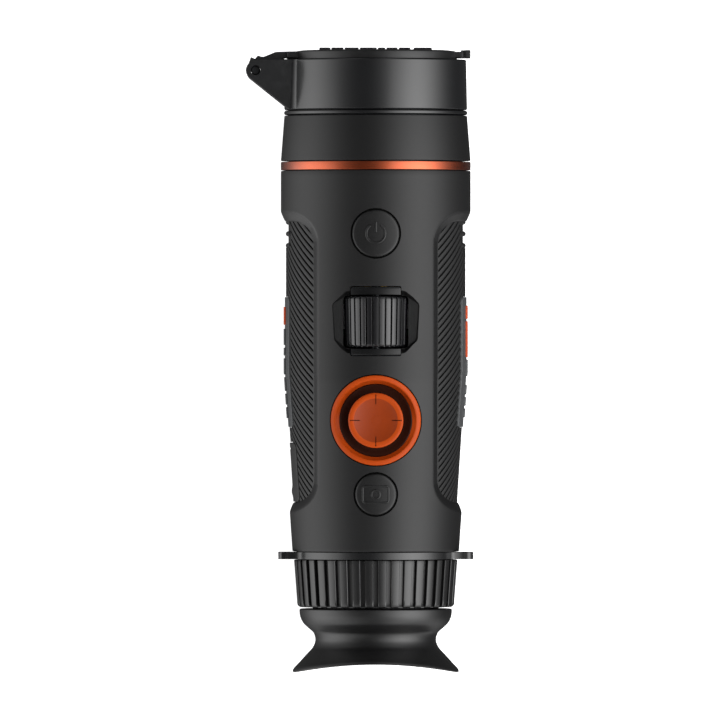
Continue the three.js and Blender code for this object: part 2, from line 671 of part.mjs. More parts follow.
// ---------------------------------------------------------------- focus drive
function focusWheel() {
  const blank = prismAlong(
    toothedOutline(
      WHEEL.teeth, WHEEL.groove, WHEEL.radius + WHEEL.toothTrim, WHEEL.toothRoot, WHEEL.toothTip, 0,
    ),
    WHEEL.rear, WHEEL.front,
  );
  const crown = revolve([
    [WHEEL.axleHole, WHEEL.rear],
    [WHEEL.rearRadius - WHEEL.chamfer, WHEEL.rear],
    [WHEEL.rearRadius, WHEEL.rear + WHEEL.chamfer],
    [WHEEL.radius, WHEEL.front - WHEEL.chamfer],
    [WHEEL.radius - WHEEL.chamfer, WHEEL.front],
    [WHEEL.axleHole, WHEEL.front],
  ]);
  return blank.intersect(crown).translate([0, 0, WHEEL.centreHeight]);
}

function wheelAxle() {
  return barAlong(WHEEL.axleRadius, WHEEL.axleRear, WHEEL.axleFront, WHEEL.centreHeight);
}

function gearOutline(teeth, phase) {
  const pitch = (GEARS.module * teeth) / 2;
  return toothedOutline(
    teeth, pitch - GEARS.dedendum * GEARS.module, pitch + GEARS.addendum * GEARS.module,
    GEARS.rootWidth, GEARS.tipWidth, phase,
  );
}

function focusPinion() {
  return prismAlong(gearOutline(GEARS.pinionTeeth, 0), GEARS.rear, GEARS.front)
    .subtract(disc(WHEEL.axleHole, GEARS.rear - 1, GEARS.front + 1, SMALL_SEGMENTS))
    .translate([0, 0, WHEEL.centreHeight]);
}

function focusRingGear() {
  return prismAlong(gearOutline(GEARS.ringTeeth, GEARS.ringPhase), GEARS.rear, GEARS.front)
    .add(disc(GEARS.hubOuter, GEARS.hubRear, GEARS.rear))
    .subtract(disc(GEARS.ringBore, GEARS.hubRear - 1, GEARS.front + 1));
}

function wheelSaddle(rear, front) {
  return block([-SADDLE.halfWidth, SADDLE.halfWidth], [rear, front], [SADDLE.bottom, FAR])
    .intersect(barAlong(SADDLE.crownRadius, rear - 1, front + 1, SADDLE.crownCentre, OUTER_SEGMENTS))
    .subtract(barAlong(WHEEL.axleHole, rear - 1, front + 1, WHEEL.centreHeight));
}

// ---------------------------------------------------------------- objective
function objectiveBarrel() {
  return revolve([
    [BARREL.guideInner, BARREL.guideRear],
    [BARREL.guideOuter, BARREL.guideRear],
    [BARREL.guideOuter, BARREL.guideFront],
    [BARREL.outer, BARREL.guideFront],
    [BARREL.outer, BARREL.front],
    [BARREL.seat, BARREL.front],
    [BARREL.seat, BARREL.ledgeFront],
    [BARREL.ledgeInner, BARREL.ledgeFront],
    [BARREL.ledgeInner, BARREL.ledgeRear],
    [BARREL.cavity, BARREL.ledgeRear],
    [BARREL.cavity, BARREL.backWall],
    [BARREL.guideInner, BARREL.backWall],
  ]);
}

// A lens with both faces domed towards the given stations.
function lens(shape, segments = INNER_SEGMENTS) {
  const { radius, rimRear, rimFront, rear, apex } = shape;
  const half = radius / 2;
  return revolve([
    [0, rear],
    [half, rear + (rimRear - rear) / 4],
    [radius, rimRear],
    [radius, rimFront],
    [half, apex + (rimFront - apex) / 4],
    [0, apex],
  ], segments);
}

function focusCarriage() {
  const [ledgeRear, ledgeFront] = CARRIAGE.ledge;
  return revolve([
    [CARRIAGE.inner, CARRIAGE.rear], [CARRIAGE.outer, CARRIAGE.rear],
    [CARRIAGE.outer, CARRIAGE.front], [CARRIAGE.inner, CARRIAGE.front],
    [CARRIAGE.inner, ledgeFront], [CARRIAGE.ledgeInner, ledgeFront],
    [CARRIAGE.ledgeInner, ledgeRear], [CARRIAGE.inner, ledgeRear],
  ]);
}

const taperRing = (shape) => revolve([
  [shape.bore, shape.rear], [shape.rearRadius, shape.rear],
  [shape.frontRadius, shape.front], [shape.bore, shape.front],
]);

function beadRing() {
  const middle = (BEAD.rear + BEAD.front) / 2;
  return revolve([
    [BEAD.bore, BEAD.rear], [BEAD.rim, BEAD.rear], [BEAD.radius, middle],
    [BEAD.rim, BEAD.front], [BEAD.bore, BEAD.front],
  ]);
}

// ---------------------------------------------------------------- cap ring, hinge and lid
function pinPrism(radius, half) {
  return discUp(radius, HINGE.x, HINGE.station, -half, half, SMALL_SEGMENTS);
}

function hingeBracket() {
  const outline = [
    [HINGE.root, CAP_RING.front], [HINGE.notch[0], CAP_RING.front], HINGE.notch, HINGE.horn,
    [HINGE.x - HINGE.earRadius + 0.3, HINGE.station + 1.2], HINGE.shoulder, HINGE.toe,
    [HINGE.root, HINGE.toe[1]],
  ];
  const ear = discUp(
    HINGE.earRadius, HINGE.x, HINGE.station, -HINGE.bracketHalf, HINGE.bracketHalf, INNER_SEGMENTS,
  );
  const channel = block(
    [-FAR, HINGE.webFace], [HINGE.toe[1] - 1, CAP_RING.front + 2], [-HINGE.channelHalf, HINGE.channelHalf],
  );
  return prismUp(outline, -HINGE.bracketHalf, HINGE.bracketHalf).add(ear).subtract(channel);
}

function capRing() {
  return taperRing(CAP_RING)
    .add(hingeBracket())
    .subtract(pinPrism(HINGE.pinHole, FAR))
    .subtract(disc(CAP_RING.bore, CAP_RING.rear - 1, CAP_RING.front + 1));
}

function hingePin() {
  return pinPrism(HINGE.pinRadius, HINGE.pinHalf);
}

function lidRibs() {
  return LID.ribs
    .map((span) => block(span, [LID.rimFront, LID.ribFront], [-LID.ribHalf, LID.ribHalf]))
    .reduce((all, rib) => all.add(rib));
}

function latchTab() {
  const half = [-LID.tabHalf, LID.tabHalf];
  const neck = block([LID.tabRoot, LID.tabTip], [LID.neckRear, LID.tabFront - 0.6], half);
  const finger = block([LID.tabNeck, LID.tabTip], [LID.tabRear, LID.tabFront], half);
  return neck.add(finger);
}

function capLid() {
  const plate = revolve([
    [0, LID.rear], [LID.radius, LID.rear], [LID.radius, LID.rimFront],
    [LID.domeRadius, LID.domeEdge], [0, LID.apex],
  ]);
  const arm = prismUp(LID_ARM, -HINGE.knuckleHalf, HINGE.knuckleHalf)
    .add(pinPrism(HINGE.knuckleRadius, HINGE.knuckleHalf));
  return plate.add(arm).add(lidRibs()).add(latchTab()).subtract(pinPrism(HINGE.pinHole, FAR));
}

// ---------------------------------------------------------------- eyepiece end
function eyepieceBarrel() {
  return revolve([
    [EYEPIECE.lensSeat, EYEPIECE.rear],
    [EYEPIECE.neckRadius, EYEPIECE.rear],
    [EYEPIECE.neckRadius, EYEPIECE.neckFront],
    [EYEPIECE.runRadius, EYEPIECE.neckFront],
    [EYEPIECE.runRadius, EYEPIECE.flangeRear],
    [EYEPIECE.flangeRadius, EYEPIECE.flangeRear],
    [EYEPIECE.flangeRadius, EYEPIECE.front],
    [EYEPIECE.cellBore, EYEPIECE.front],
    [EYEPIECE.cellBore, EYEPIECE.ledgeFront],
    [EYEPIECE.ledgeInner, EYEPIECE.ledgeFront],
    [EYEPIECE.ledgeInner, EYEPIECE.ledgeRear],
    [EYEPIECE.lensSeat, EYEPIECE.ledgeRear],
  ]);
}

function lensCell() {
  const [ledgeRear, ledgeFront] = LENS_CELL.ledge;
  return revolve([
    [LENS_CELL.inner, LENS_CELL.rear], [LENS_CELL.outer, LENS_CELL.rear],
    [LENS_CELL.outer, LENS_CELL.front], [LENS_CELL.inner, LENS_CELL.front],
    [LENS_CELL.inner, ledgeFront], [LENS_CELL.ledgeInner, ledgeFront],
    [LENS_CELL.ledgeInner, ledgeRear + 1.2], [LENS_CELL.inner, ledgeRear + 0.1],
  ], INNER_SEGMENTS);
}

function strapRing() {
  const { lugHalf, lugTip, lugRoot, lugCorner, slotInner, slotOuter, slotHalf, rear, front } = STRAP_RING;
  const lugs = [-1, 1].map((side) => {
    const low = side > 0 ? lugRoot : -lugTip;
    const high = side > 0 ? lugTip : -lugRoot;
    const slotLow = side > 0 ? slotInner : -slotOuter;
    const slotHigh = side > 0 ? slotOuter : -slotInner;
    return prismAlong(roundedOutline([low, -lugHalf], [high, lugHalf], lugCorner), rear, front)
      .subtract(block([slotLow, slotHigh], [rear - 1, front + 1], [-slotHalf, slotHalf]));
  });
  return ring(STRAP_RING.radius, STRAP_RING.bore, rear, front)
    .add(lugs[0])
    .add(lugs[1])
    .subtract(disc(STRAP_RING.bore, rear - 1, front + 1));
}

function diopterRing() {
  const { rear, front, bore, rearRadius, frontRadius, chamfer, teeth, groove, grooveShare } = DIOPTER;
  const blank = revolve([
    [bore, rear], [rearRadius - chamfer, rear], [rearRadius, rear + chamfer],
    [frontRadius, front], [bore, front],
  ], teeth);
  const core = frontRadius - groove;
  const tip = 1 - grooveShare;
  const outline = toothedOutline(teeth, core, frontRadius + 0.2, tip + 0.04, tip - 0.04, 0);
  return blank.intersect(prismAlong(outline, rear, front));
}

function eyecup() {
  const points = [];
  const [tip] = EYECUP.outline;
  const reach = tip[0] + 1;
  for (let step = 0; step <= EYECUP.saddleSteps; step += 1) {
    const x = -reach + (2 * reach * step) / EYECUP.saddleSteps;
    points.push([x, EYECUP.saddle * (1 - (x / tip[0]) ** 2)]);
  }
  const trim = prismUp([[-reach, -FAR], ...points, [reach, -FAR]], -FAR, FAR);
  return revolve([...EYECUP.outline, ...EYECUP.inside]).subtract(trim);
}

// ---------------------------------------------------------------- inside the housing
function batteryCell() {
  return barAlong(BATTERY.radius, BATTERY.rear, BATTERY.front, BATTERY.height, 24)
    .add(barAlong(BATTERY.tipRadius, BATTERY.tipRear, BATTERY.rear + 1, BATTERY.height, 24));
}

function batteryCradle() {
  return ring(CRADLE.outer, CRADLE.inner, CRADLE.rear, CRADLE.front, 24)
    .intersect(block([-FAR, FAR], [CRADLE.rear, CRADLE.front], [-FAR, 0]))
    .translate([0, 0, BATTERY.height]);
}

function displayModule() {
  return block(
    [-DISPLAY.halfX, DISPLAY.halfX], [DISPLAY.rear, DISPLAY.front], [-DISPLAY.halfZ, DISPLAY.halfZ],
  )
    .subtract(block(
      [-DISPLAY.windowX, DISPLAY.windowX], [DISPLAY.rear - 1, DISPLAY.rear + DISPLAY.recess],
      [-DISPLAY.windowZ, DISPLAY.windowZ],
    ));
}

function mainBoard() {
  return block(
    [-MAIN_BOARD.halfWidth, MAIN_BOARD.halfWidth], [MAIN_BOARD.rear, MAIN_BOARD.front],
    [MAIN_BOARD.bottom, MAIN_BOARD.top],
  );
}

function sensorModule() {
  const half = [-SENSOR.half, SENSOR.half];
  return block(half, [SENSOR.rear, SENSOR.front], half)
    .subtract(disc(SENSOR.windowRadius, SENSOR.front - SENSOR.recess, SENSOR.front + 1, INNER_SEGMENTS));
}

function sensorBoard() {
  return disc(SENSOR_BOARD.radius, SENSOR_BOARD.rear, SENSOR_BOARD.front, INNER_SEGMENTS)
    .intersect(block([-FAR, FAR], [SENSOR_BOARD.rear, SENSOR_BOARD.front], [-FAR, SENSOR_BOARD.top]));
}

function shutterFrame() {
  const half = [-SHUTTER.half, SHUTTER.half];
  return block(half, [SHUTTER.rear, SHUTTER.front], half)
    .subtract(disc(SHUTTER.window, SHUTTER.rear - 1, SHUTTER.front + 1, INNER_SEGMENTS));
}

// A flag on a short arm. It is parked beside the window and swings across it.
function shutterBlade() {
  const { bladeRear, bladeFront, pivotX, pivotHeight, tailRadius, bladeRadius, swing } = SHUTTER;
  const reach = Math.hypot(pivotX, pivotHeight);
  const angle = Math.atan2(-pivotHeight, -pivotX) - swing;
  const x = pivotX + reach * Math.cos(angle);
  const height = pivotHeight + reach * Math.sin(angle);
  const flag = disc(bladeRadius, bladeRear, bladeFront, INNER_SEGMENTS).translate([x, 0, height]);
  const tail = disc(tailRadius, bladeRear, bladeFront, SMALL_SEGMENTS).translate([pivotX, 0, pivotHeight]);
  const arm = prismAlong([
    [pivotX, pivotHeight - tailRadius * 0.8], [x, height - tailRadius],
    [x, height + tailRadius], [pivotX, pivotHeight + tailRadius * 0.8],
  ], bladeRear, bladeFront);
  return flag.add(tail).add(arm);
}

// ---------------------------------------------------------------- tripod plate
function tripodPlate() {
  const { halfWidth, halfLength, corner, bottom, top } = TRIPOD;
  const outline = roundedOutline(
    [-halfWidth, DATUM_STATION - halfLength], [halfWidth, DATUM_STATION + halfLength], corner,
  );
  const bush = discUp(TRIPOD.bushOuter + SLIP, 0, DATUM_STATION + TRIPOD.bushOffset, -FAR, FAR);
  return [-1, 1]
    .map((side) => tripodScrew(side, SLIP))
    .reduce((plate, cut) => plate.subtract(cut), prismUp(outline, bottom, top).subtract(bush));
}

function tripodScrew(side, growth) {
  const head = TRIPOD.headRadius + growth;
  const shank = TRIPOD.shankRadius + growth;
  const start = growth > 0 ? -FAR : TRIPOD.bottom + TRIPOD.bushRecess;
  return revolveUp([
    [0, start], [head, start], [head, TRIPOD.headTop + growth],
    [shank, TRIPOD.headTop + growth], [shank, TRIPOD.shankTop + growth], [0, TRIPOD.shankTop + growth],
  ], 0, DATUM_STATION + side * TRIPOD.screwOffset, SMALL_SEGMENTS);
}

function tripodBush() {
  const start = TRIPOD.bottom + TRIPOD.bushRecess;
  return revolveUp([
    [TRIPOD.bushInner, start], [TRIPOD.bushOuter, start], [TRIPOD.bushOuter, TRIPOD.bushTop],
    [0, TRIPOD.bushTop], [0, TRIPOD.bushRoof], [TRIPOD.bushInner, TRIPOD.bushRoof],
  ], 0, DATUM_STATION + TRIPOD.bushOffset);
}

// ---------------------------------------------------------------- assembly
const M = MATERIALS;
const BODIES = {
  body: [
    ["main_housing", mainHousing(), M.softTouch],
    ["grip_left", grip(-1), M.grip],
    ["grip_right", grip(1), M.grip],
    ["side_plate_left", sidePlate(-1, BADGE.leftMarks), M.plate],
    ["side_plate_right", sidePlate(1, BADGE.rightMarks), M.plate],
    ["badge_bar_left", badgeBar(-1, BADGE.left), M.orange],
    ["badge_bar_right_front", badgeBar(1, BADGE.rightFront), M.orange],
    ["badge_bar_right_rear", badgeBar(1, BADGE.rightRear), M.orange],
    ["accent_ring", ring(ACCENT.radius, ACCENT.bore, ACCENT.rear, ACCENT.front), M.anodised],
    ["objective_sleeve", taperRing(SLEEVE), M.sleeve],
    ["bead_ring", beadRing(), M.gloss],
    ["cap_ring", capRing(), M.gloss],
    ["hinge_pin", hingePin(), M.darkMetal],
    ["objective_barrel", objectiveBarrel(), M.darkMetal],
    ["front_lens", lens(FRONT_LENS, OUTER_SEGMENTS), M.germanium],
    [
      "front_oring",
      ring(FRONT_ORING.outer, FRONT_ORING.inner, FRONT_ORING.rear, FRONT_ORING.front),
      M.rubber,
    ],
    [
      "front_lens_retainer",
      ring(FRONT_RETAINER.outer, FRONT_RETAINER.inner, FRONT_RETAINER.rear, FRONT_RETAINER.front),
      M.darkMetal,
    ],
    ["eyepiece_barrel", eyepieceBarrel(), M.darkMetal],
    ["strap_ring", strapRing(), M.gloss],
    ["eyecup", eyecup(), M.rubber],
    ["eye_lens", lens(EYE_LENS), M.glass],
    [
      "eye_lens_retainer",
      ring(EYE_RETAINER.outer, EYE_RETAINER.inner, EYE_RETAINER.rear, EYE_RETAINER.front, INNER_SEGMENTS),
      M.darkMetal,
    ],
    ["sensor_module", sensorModule(), M.metal],
    ["sensor_board", sensorBoard(), M.board],
    ["shutter_frame", shutterFrame(), M.frame],
    ["main_board", mainBoard(), M.board],
    ["battery_cell", batteryCell(), M.cell],
    ["battery_cradle", batteryCradle(), M.frame],
    ["display_module", displayModule(), M.frame],
    ["usb_port", usbPort(), M.steel],
    ["usb_board", usbBoard(), M.board],
    ["tripod_plate", tripodPlate(), M.matte],
    ["tripod_bush", tripodBush(), M.brass],
    ["plate_screw_front", tripodScrew(1, 0), M.steel],
    ["plate_screw_rear", tripodScrew(-1, 0), M.steel],
    ["joystick_bezel", joystickBezel(), M.orange],
    ["joystick_boot", joystickBoot(), M.boot],
    ["joystick_base", joystickBase(), M.frame],
    ["power_switch", pushSwitch(POWER_BUTTON), M.frame],
    ["photo_switch", pushSwitch(PHOTO_BUTTON), M.frame],
    ["wheel_saddle_front", wheelSaddle(SADDLE.frontRear, SADDLE.frontFront), M.gloss],
    ["wheel_saddle_rear", wheelSaddle(SADDLE.rearRear, SADDLE.rearFront), M.gloss],
  ],
  lid: [
    ["lens_cap_lid", capLid(), M.matte],
    ["lid_gasket", ring(GASKET.outer, GASKET.inner, GASKET.rear, GASKET.front), M.rubber],
  ],
  wheel: [
    ["focus_wheel", focusWheel(), M.wheel],
    ["wheel_axle", wheelAxle(), M.steel],
    ["focus_pinion", focusPinion(), M.brass],
  ],
  focus_ring: [["focus_ring_gear", focusRingGear(), M.metal]],
  carriage: [
    ["focus_carriage", focusCarriage(), M.metal],
    ["rear_lens", lens(REAR_LENS), M.germanium],
  ],
  stick_gimbal: [["joystick_gimbal", joystickGimbal(), M.steel]],
  stick_stem: [["joystick_stem", joystickStem(), M.steel]],
  stick_cap: [["joystick_cap", joystickCap(), M.orange]],
  power_key: [["power_button", buttonCap(POWER_BUTTON), M.button]],
  photo_key: [["photo_button", buttonCap(PHOTO_BUTTON), M.button]],
  diopter: [["diopter_ring", diopterRing(), M.sleeve]],
  eyepiece_cell: [
    ["eyepiece_lens_cell", lensCell(), M.darkMetal],
    ["field_lens", lens(FIELD_LENS), M.glass],
  ],
  usb_door: [["usb_cover", usbCover(), M.grip]],
  shutter: [["shutter_blade", shutterBlade(), M.darkMetal]],
};

const monocular = new THREE.Group();
monocular.name = "thermal_monocular";
monocular.position.set(0, -DATUM_STATION, AXIS_HEIGHT);
Object.entries(BODIES).forEach(([bodyName, nodes]) => {
  const group = new THREE.Group();
  group.name = bodyName;
  nodes.forEach(([name, body, material]) => group.add(meshOf(name, body, material)));
  monocular.add(group);
});

export default monocular;
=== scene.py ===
import json
from math import atan2, ceil, cos, degrees, exp, hypot, pi, radians, sin, sqrt, tan

import bmesh
import bpy
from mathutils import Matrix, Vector


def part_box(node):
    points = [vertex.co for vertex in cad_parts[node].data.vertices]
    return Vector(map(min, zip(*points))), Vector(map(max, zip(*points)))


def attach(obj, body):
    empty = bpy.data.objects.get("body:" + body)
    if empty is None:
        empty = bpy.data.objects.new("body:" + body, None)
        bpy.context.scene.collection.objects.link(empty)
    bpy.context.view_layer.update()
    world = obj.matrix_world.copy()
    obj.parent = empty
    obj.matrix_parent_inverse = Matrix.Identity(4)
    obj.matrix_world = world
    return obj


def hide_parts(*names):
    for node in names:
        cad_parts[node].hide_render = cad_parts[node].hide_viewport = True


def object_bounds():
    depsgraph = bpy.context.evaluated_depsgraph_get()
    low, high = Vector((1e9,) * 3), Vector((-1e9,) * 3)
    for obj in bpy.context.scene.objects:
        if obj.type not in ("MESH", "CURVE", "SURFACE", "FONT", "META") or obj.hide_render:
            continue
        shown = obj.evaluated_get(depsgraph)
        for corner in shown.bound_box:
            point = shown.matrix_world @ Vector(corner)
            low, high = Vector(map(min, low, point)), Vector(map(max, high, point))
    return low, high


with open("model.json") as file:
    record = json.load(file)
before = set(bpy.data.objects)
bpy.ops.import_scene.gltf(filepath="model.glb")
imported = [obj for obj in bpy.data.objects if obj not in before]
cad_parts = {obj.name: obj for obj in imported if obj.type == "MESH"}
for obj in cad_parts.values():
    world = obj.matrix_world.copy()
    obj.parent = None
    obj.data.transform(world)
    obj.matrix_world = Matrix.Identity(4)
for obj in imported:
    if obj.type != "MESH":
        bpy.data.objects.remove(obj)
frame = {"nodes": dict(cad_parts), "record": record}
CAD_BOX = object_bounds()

# ---- places and sizes, in mm
# st is a station along the optical axis, from the eyecup's tips, and h a height above that axis.
MM = 0.001
SHARP = 32.0  # degrees


def span(node, axis):
    """A CAD node's lowest and highest value along an axis, in mm."""
    low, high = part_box(node)
    return low[axis] / MM, high[axis] / MM


def half_width(node, axis=0):
    low, high = span(node, axis)
    return (high - low) / 2


def middle(node, axis):
    low, high = span(node, axis)
    return (low + high) / 2


TIP = span("eyecup", 1)[0]
AXIS_Z = middle("accent_ring", 2)
BODY_R = half_width("accent_ring")


def station(node):
    """A CAD node's two ends along the optical axis, counted from the eyecup's tips."""
    low, high = span(node, 1)
    return low - TIP, high - TIP


def mid_station(node):
    return middle(node, 1) - TIP


REAR, FRONT = station("main_housing")
TAPER_END = 92.0
REAR_R = 26.35
GRIP_R = 28.35
GRIP_REAR_R = 25.8
GRIP_REAR, GRIP_FRONT = 50.1, 146.0
GRIP_TAPER, GRIP_TAPER_LENGTH = 55.0, 40.0


def clamp(value, low=0.0, high=1.0):
    return max(low, min(high, value))


def mix(a, b, t):
    return a + (b - a) * t


def body_radius(st):
    return mix(REAR_R, BODY_R, clamp((st - REAR) / (TAPER_END - REAR)))


def grip_radius(st):
    return mix(GRIP_REAR_R, GRIP_R, clamp((st - GRIP_TAPER) / GRIP_TAPER_LENGTH))


def skin_height(x, st, offset=0.0):
    """Height of the housing's top surface above the optical axis."""
    r = body_radius(st) + offset
    return sqrt(max(r * r - x * x, 0.0))


# ---- mesh building
def place(point):
    x, st, h = point
    return Vector((x * MM, (TIP + st) * MM, (AXIS_Z + h) * MM))


def add_object(name, data):
    obj = bpy.data.objects.new(name, data)
    bpy.context.scene.collection.objects.link(obj)
    return obj


def mesh_object(name, bm):
    mesh = bpy.data.meshes.new(name)
    bm.to_mesh(mesh)
    bm.free()
    return add_object(name, mesh)


def shade(obj, sharp):
    """Smooth shading, broken where faces meet at more than an angle in degrees."""
    obj.data.shade_smooth()
    obj.data.set_sharp_from_angle(angle=radians(sharp))
    return obj


def loft(name, rings, closed=False, sharp=SHARP):
    """Joins equal rings of points. Closed joins the last ring to the first, else both ends are capped."""
    bm = bmesh.new()
    loops = [[bm.verts.new(place(p)) for p in ring] for ring in rings]
    pairs = list(zip(loops, loops[1:]))
    if closed:
        pairs.append((loops[-1], loops[0]))
    for a, b in pairs:
        for i in range(len(a)):
            j = (i + 1) % len(a)
            bm.faces.new((a[i], a[j], b[j], b[i]))
    if not closed:
        bm.faces.new(loops[0])
        bm.faces.new(list(reversed(loops[-1])))
    bmesh.ops.remove_doubles(bm, verts=bm.verts, dist=2e-7)
    bmesh.ops.dissolve_degenerate(bm, edges=bm.edges, dist=1e-7)
    bmesh.ops.recalc_face_normals(bm, faces=bm.faces)
    return shade(mesh_object(name, bm), sharp)


def round_corners(points, radii, steps=5):
    """A closed outline with each corner rounded by its own radius."""
    out = []
    count = len(points)
    for i, (x, y) in enumerate(points):
        radius = radii[i] if isinstance(radii, (list, tuple)) else radii
        if radius <= 0:
            out.append((x, y))
            continue
        here = Vector((x, y))
        before = (Vector(points[i - 1]) - here).normalized()
        after = (Vector(points[(i + 1) % count]) - here).normalized()
        angle = before.angle(after)
        reach = radius / max(tan(angle / 2), 1e-4)
        start, end = here + before * reach, here + after * reach
        for k in range(steps + 1):
            t = k / steps
            curve = start * (1 - t) ** 2 + here * 2 * t * (1 - t) + end * t ** 2
            out.append((curve.x, curve.y))
    return out


def full_turn(segments):
    return [2 * pi * k / segments for k in range(segments)]


def around(profile, segments=192, height=0.0):
    """Rings of a (radius, station) profile turned about a line parallel to the optical axis."""
    return [
        [(radius * sin(a), st, height + radius * cos(a)) for a in full_turn(segments)]
        for radius, st in profile
    ]


def upright(profile, x, st, segments=96):
    """Rings of a (radius, height) profile turned about a vertical line."""
    return [
        [(x + radius * cos(a), st + radius * sin(a), h) for a in full_turn(segments)]
        for radius, h in profile
    ]


def peg(radius, low, high, st, segments=96, x=0):
    """An upright cylinder that cuts a round hole."""
    return loft("cut_round", upright([(radius, low), (radius, high)], x, st, segments))


def prism(name, outline, low, high, across="h"):
    """An outline given in (x, station) and drawn along h, or in (x, h) and drawn along the axis."""
    upwards = across == "h"
    return loft(name, [
        [(x, y, level) if upwards else (x, level, y) for x, y in outline] for level in (low, high)
    ])


def box(name, low, high):
    """A block between two corners."""
    outline = [(low[0], low[1]), (high[0], low[1]), (high[0], high[1]), (low[0], high[1])]
    return prism(name, outline, low[2], high[2])


def apply_modifiers(obj):
    depsgraph = bpy.context.evaluated_depsgraph_get()
    mesh = bpy.data.meshes.new_from_object(obj.evaluated_get(depsgraph))
    obj.modifiers.clear()
    old = obj.data
    obj.data = mesh
    bpy.data.meshes.remove(old)
    return obj


def bevel(obj, width, segments=3, angle=35.0):
    modifier = obj.modifiers.new("edge", "BEVEL")
    modifier.width = width * MM
    modifier.segments = segments
    modifier.limit_method = "ANGLE"
    modifier.angle_limit = radians(angle)
    apply_modifiers(obj)
    return flatten(obj)


def flatten(obj):
    """Smooth shading whose normals follow the large faces, so that flat faces look flat."""
    shade(obj, 50.0)
    modifier = obj.modifiers.new("even", "WEIGHTED_NORMAL")
    modifier.keep_sharp = True
    return apply_modifiers(obj)


def carve(obj, cutters, operation="DIFFERENCE"):
    """Cuts the cutters out of a piece, or keeps what is inside them, and removes the cutters."""
    for cutter in cutters:
        modifier = obj.modifiers.new("cut", "BOOLEAN")
        modifier.operation = operation
        modifier.solver = "MANIFOLD"
        modifier.object = cutter
        apply_modifiers(obj)
        mesh = cutter.data
        bpy.data.objects.remove(cutter)
        bpy.data.meshes.remove(mesh)
    bm = bmesh.new()
    bm.from_mesh(obj.data)
    bmesh.ops.remove_doubles(bm, verts=bm.verts, dist=1e-6)
    bmesh.ops.dissolve_degenerate(bm, edges=bm.edges, dist=1e-6)
    bm.to_mesh(obj.data)
    bm.free()
    return shade(obj, SHARP)


# ---- pads that follow a curved surface
def rounded_rectangle(u0, v0, u1, v1, radius, steps=6):
    return round_corners([(u1, v1), (u0, v1), (u0, v0), (u1, v0)], radius, steps)


def panel(half, low, high, radius):
    """A rounded rectangle with its middle at u = 0."""
    return rounded_rectangle(-half, low, half, high, radius)


def grown(half, ends, gap, radius):
    """A panel with a gap added all round."""
    return panel(half + gap, ends[0] - gap, ends[1] + gap, radius)


def circle(u, v, radius, segments=96):
    return [(u + radius * cos(a), v + radius * sin(a)) for a in full_turn(segments)]


def dense(outline, step=0.9):
    """The same outline with its long straight stretches divided, so that it can follow a curved surface."""
    out = []
    for i, (u, v) in enumerate(outline):
        after = outline[(i + 1) % len(outline)]
        parts = max(1, ceil(hypot(after[0] - u, after[1] - v) / step))
        out += [(mix(u, after[0], k / parts), mix(v, after[1], k / parts)) for k in range(parts)]
    return out


def inset(outline, distance):
    """The outline moved inwards, point by point."""
    after = outline[1:] + outline[:1]
    area = sum(u * next_v - next_u * v for (u, v), (next_u, next_v) in zip(outline, after))
    turn = 1.0 if area > 0 else -1.0
    out = []
    for i, (u, v) in enumerate(outline):
        tangent = Vector(after[i]) - Vector(outline[i - 1])
        if tangent.length < 1e-9:
            out.append((u, v))
            continue
        normal = Vector((-tangent.y, tangent.x)).normalized() * turn
        out.append((u + normal.x * distance, v + normal.y * distance))
    return out


def pad(name, outline, surface, base, top, edge, fills=8, steps=5, shape=None):
    """A plate on a curved surface with a rounded rim. surface(u, v, offset) gives the point.
    shape(u, v) lifts the top."""
    outline = dense(outline)
    cu = sum(u for u, _ in outline) / len(outline)
    cv = sum(v for _, v in outline) / len(outline)

    def shrunk(loop, t):
        return [(mix(cu, u, t), mix(cv, v, t)) for u, v in loop]

    rings = [[surface(u, v, base) for u, v in shrunk(outline, t)] for t in (0.02, 0.35, 0.7, 1.0)]
    rings.append([surface(u, v, top - edge) for u, v in outline])
    for k in range(1, steps + 1):
        angle = (k / steps) * pi / 2
        loop = inset(outline, edge * (1 - cos(angle)))
        rings.append([surface(u, v, top - edge + edge * sin(angle)) for u, v in loop])
    for k in range(1, fills + 1):
        t = 1 - k / fills * 0.98
        rings.append([surface(u, v, top + (shape(u, v) if shape else 0.0)) for u, v in shrunk(loop, t)])
    return loft(name, rings)


def on_top(x, st, offset):
    return (x, st, skin_height(x, st, offset))


def on_side(side):
    """The surface of a grip, in (h, station)."""
    def point(h, st, offset):
        r = grip_radius(st) + offset
        return (side * sqrt(max(r * r - h * h, 0.0)), st, h)
    return point


BEAD = [(-1.0, 0.0), (-0.75, 0.62), (-0.3, 0.95), (0.3, 0.95), (0.75, 0.62), (1.0, 0.0)]


def ridge(name, path, surface, width, height, sink=0.15, closed=False):
    """A half-round bead along a path of (u, v) on a surface, sunk into it a little."""
    count = len(path)
    section = [(-1.0, -sink)] + [(across, up * height) for across, up in BEAD] + [(1.0, -sink)]
    rings = []
    for i, (u, v) in enumerate(path):
        after = path[(i + 1) % count] if closed else path[min(i + 1, count - 1)]
        before = path[i - 1] if closed else path[max(i - 1, 0)]
        tangent = (Vector(after) - Vector(before)).normalized()
        normal = Vector((-tangent.y, tangent.x)) * (width / 2)
        rings.append([
            surface(u + normal.x * across, v + normal.y * across, lift) for across, lift in section
        ])
    return loft(name, rings, closed=closed)


# ---- materials
def nodes_of(name):
    material = bpy.data.materials.new(name)
    material.use_nodes = True
    tree = material.node_tree
    return material, tree, tree.nodes["Principled BSDF"]


def feed(node, inputs):
    """Sets each input to a value or links it to another node's output."""
    for socket, value in inputs.items():
        if isinstance(value, bpy.types.NodeSocket):
            node.id_data.links.new(value, node.inputs[socket])
        else:
            node.inputs[socket].default_value = value


def add_node(tree, kind, inputs={}, **settings):
    node = tree.nodes.new("ShaderNode" + kind)
    for setting, value in settings.items():
        setattr(node, setting, value)
    feed(node, inputs)
    return node


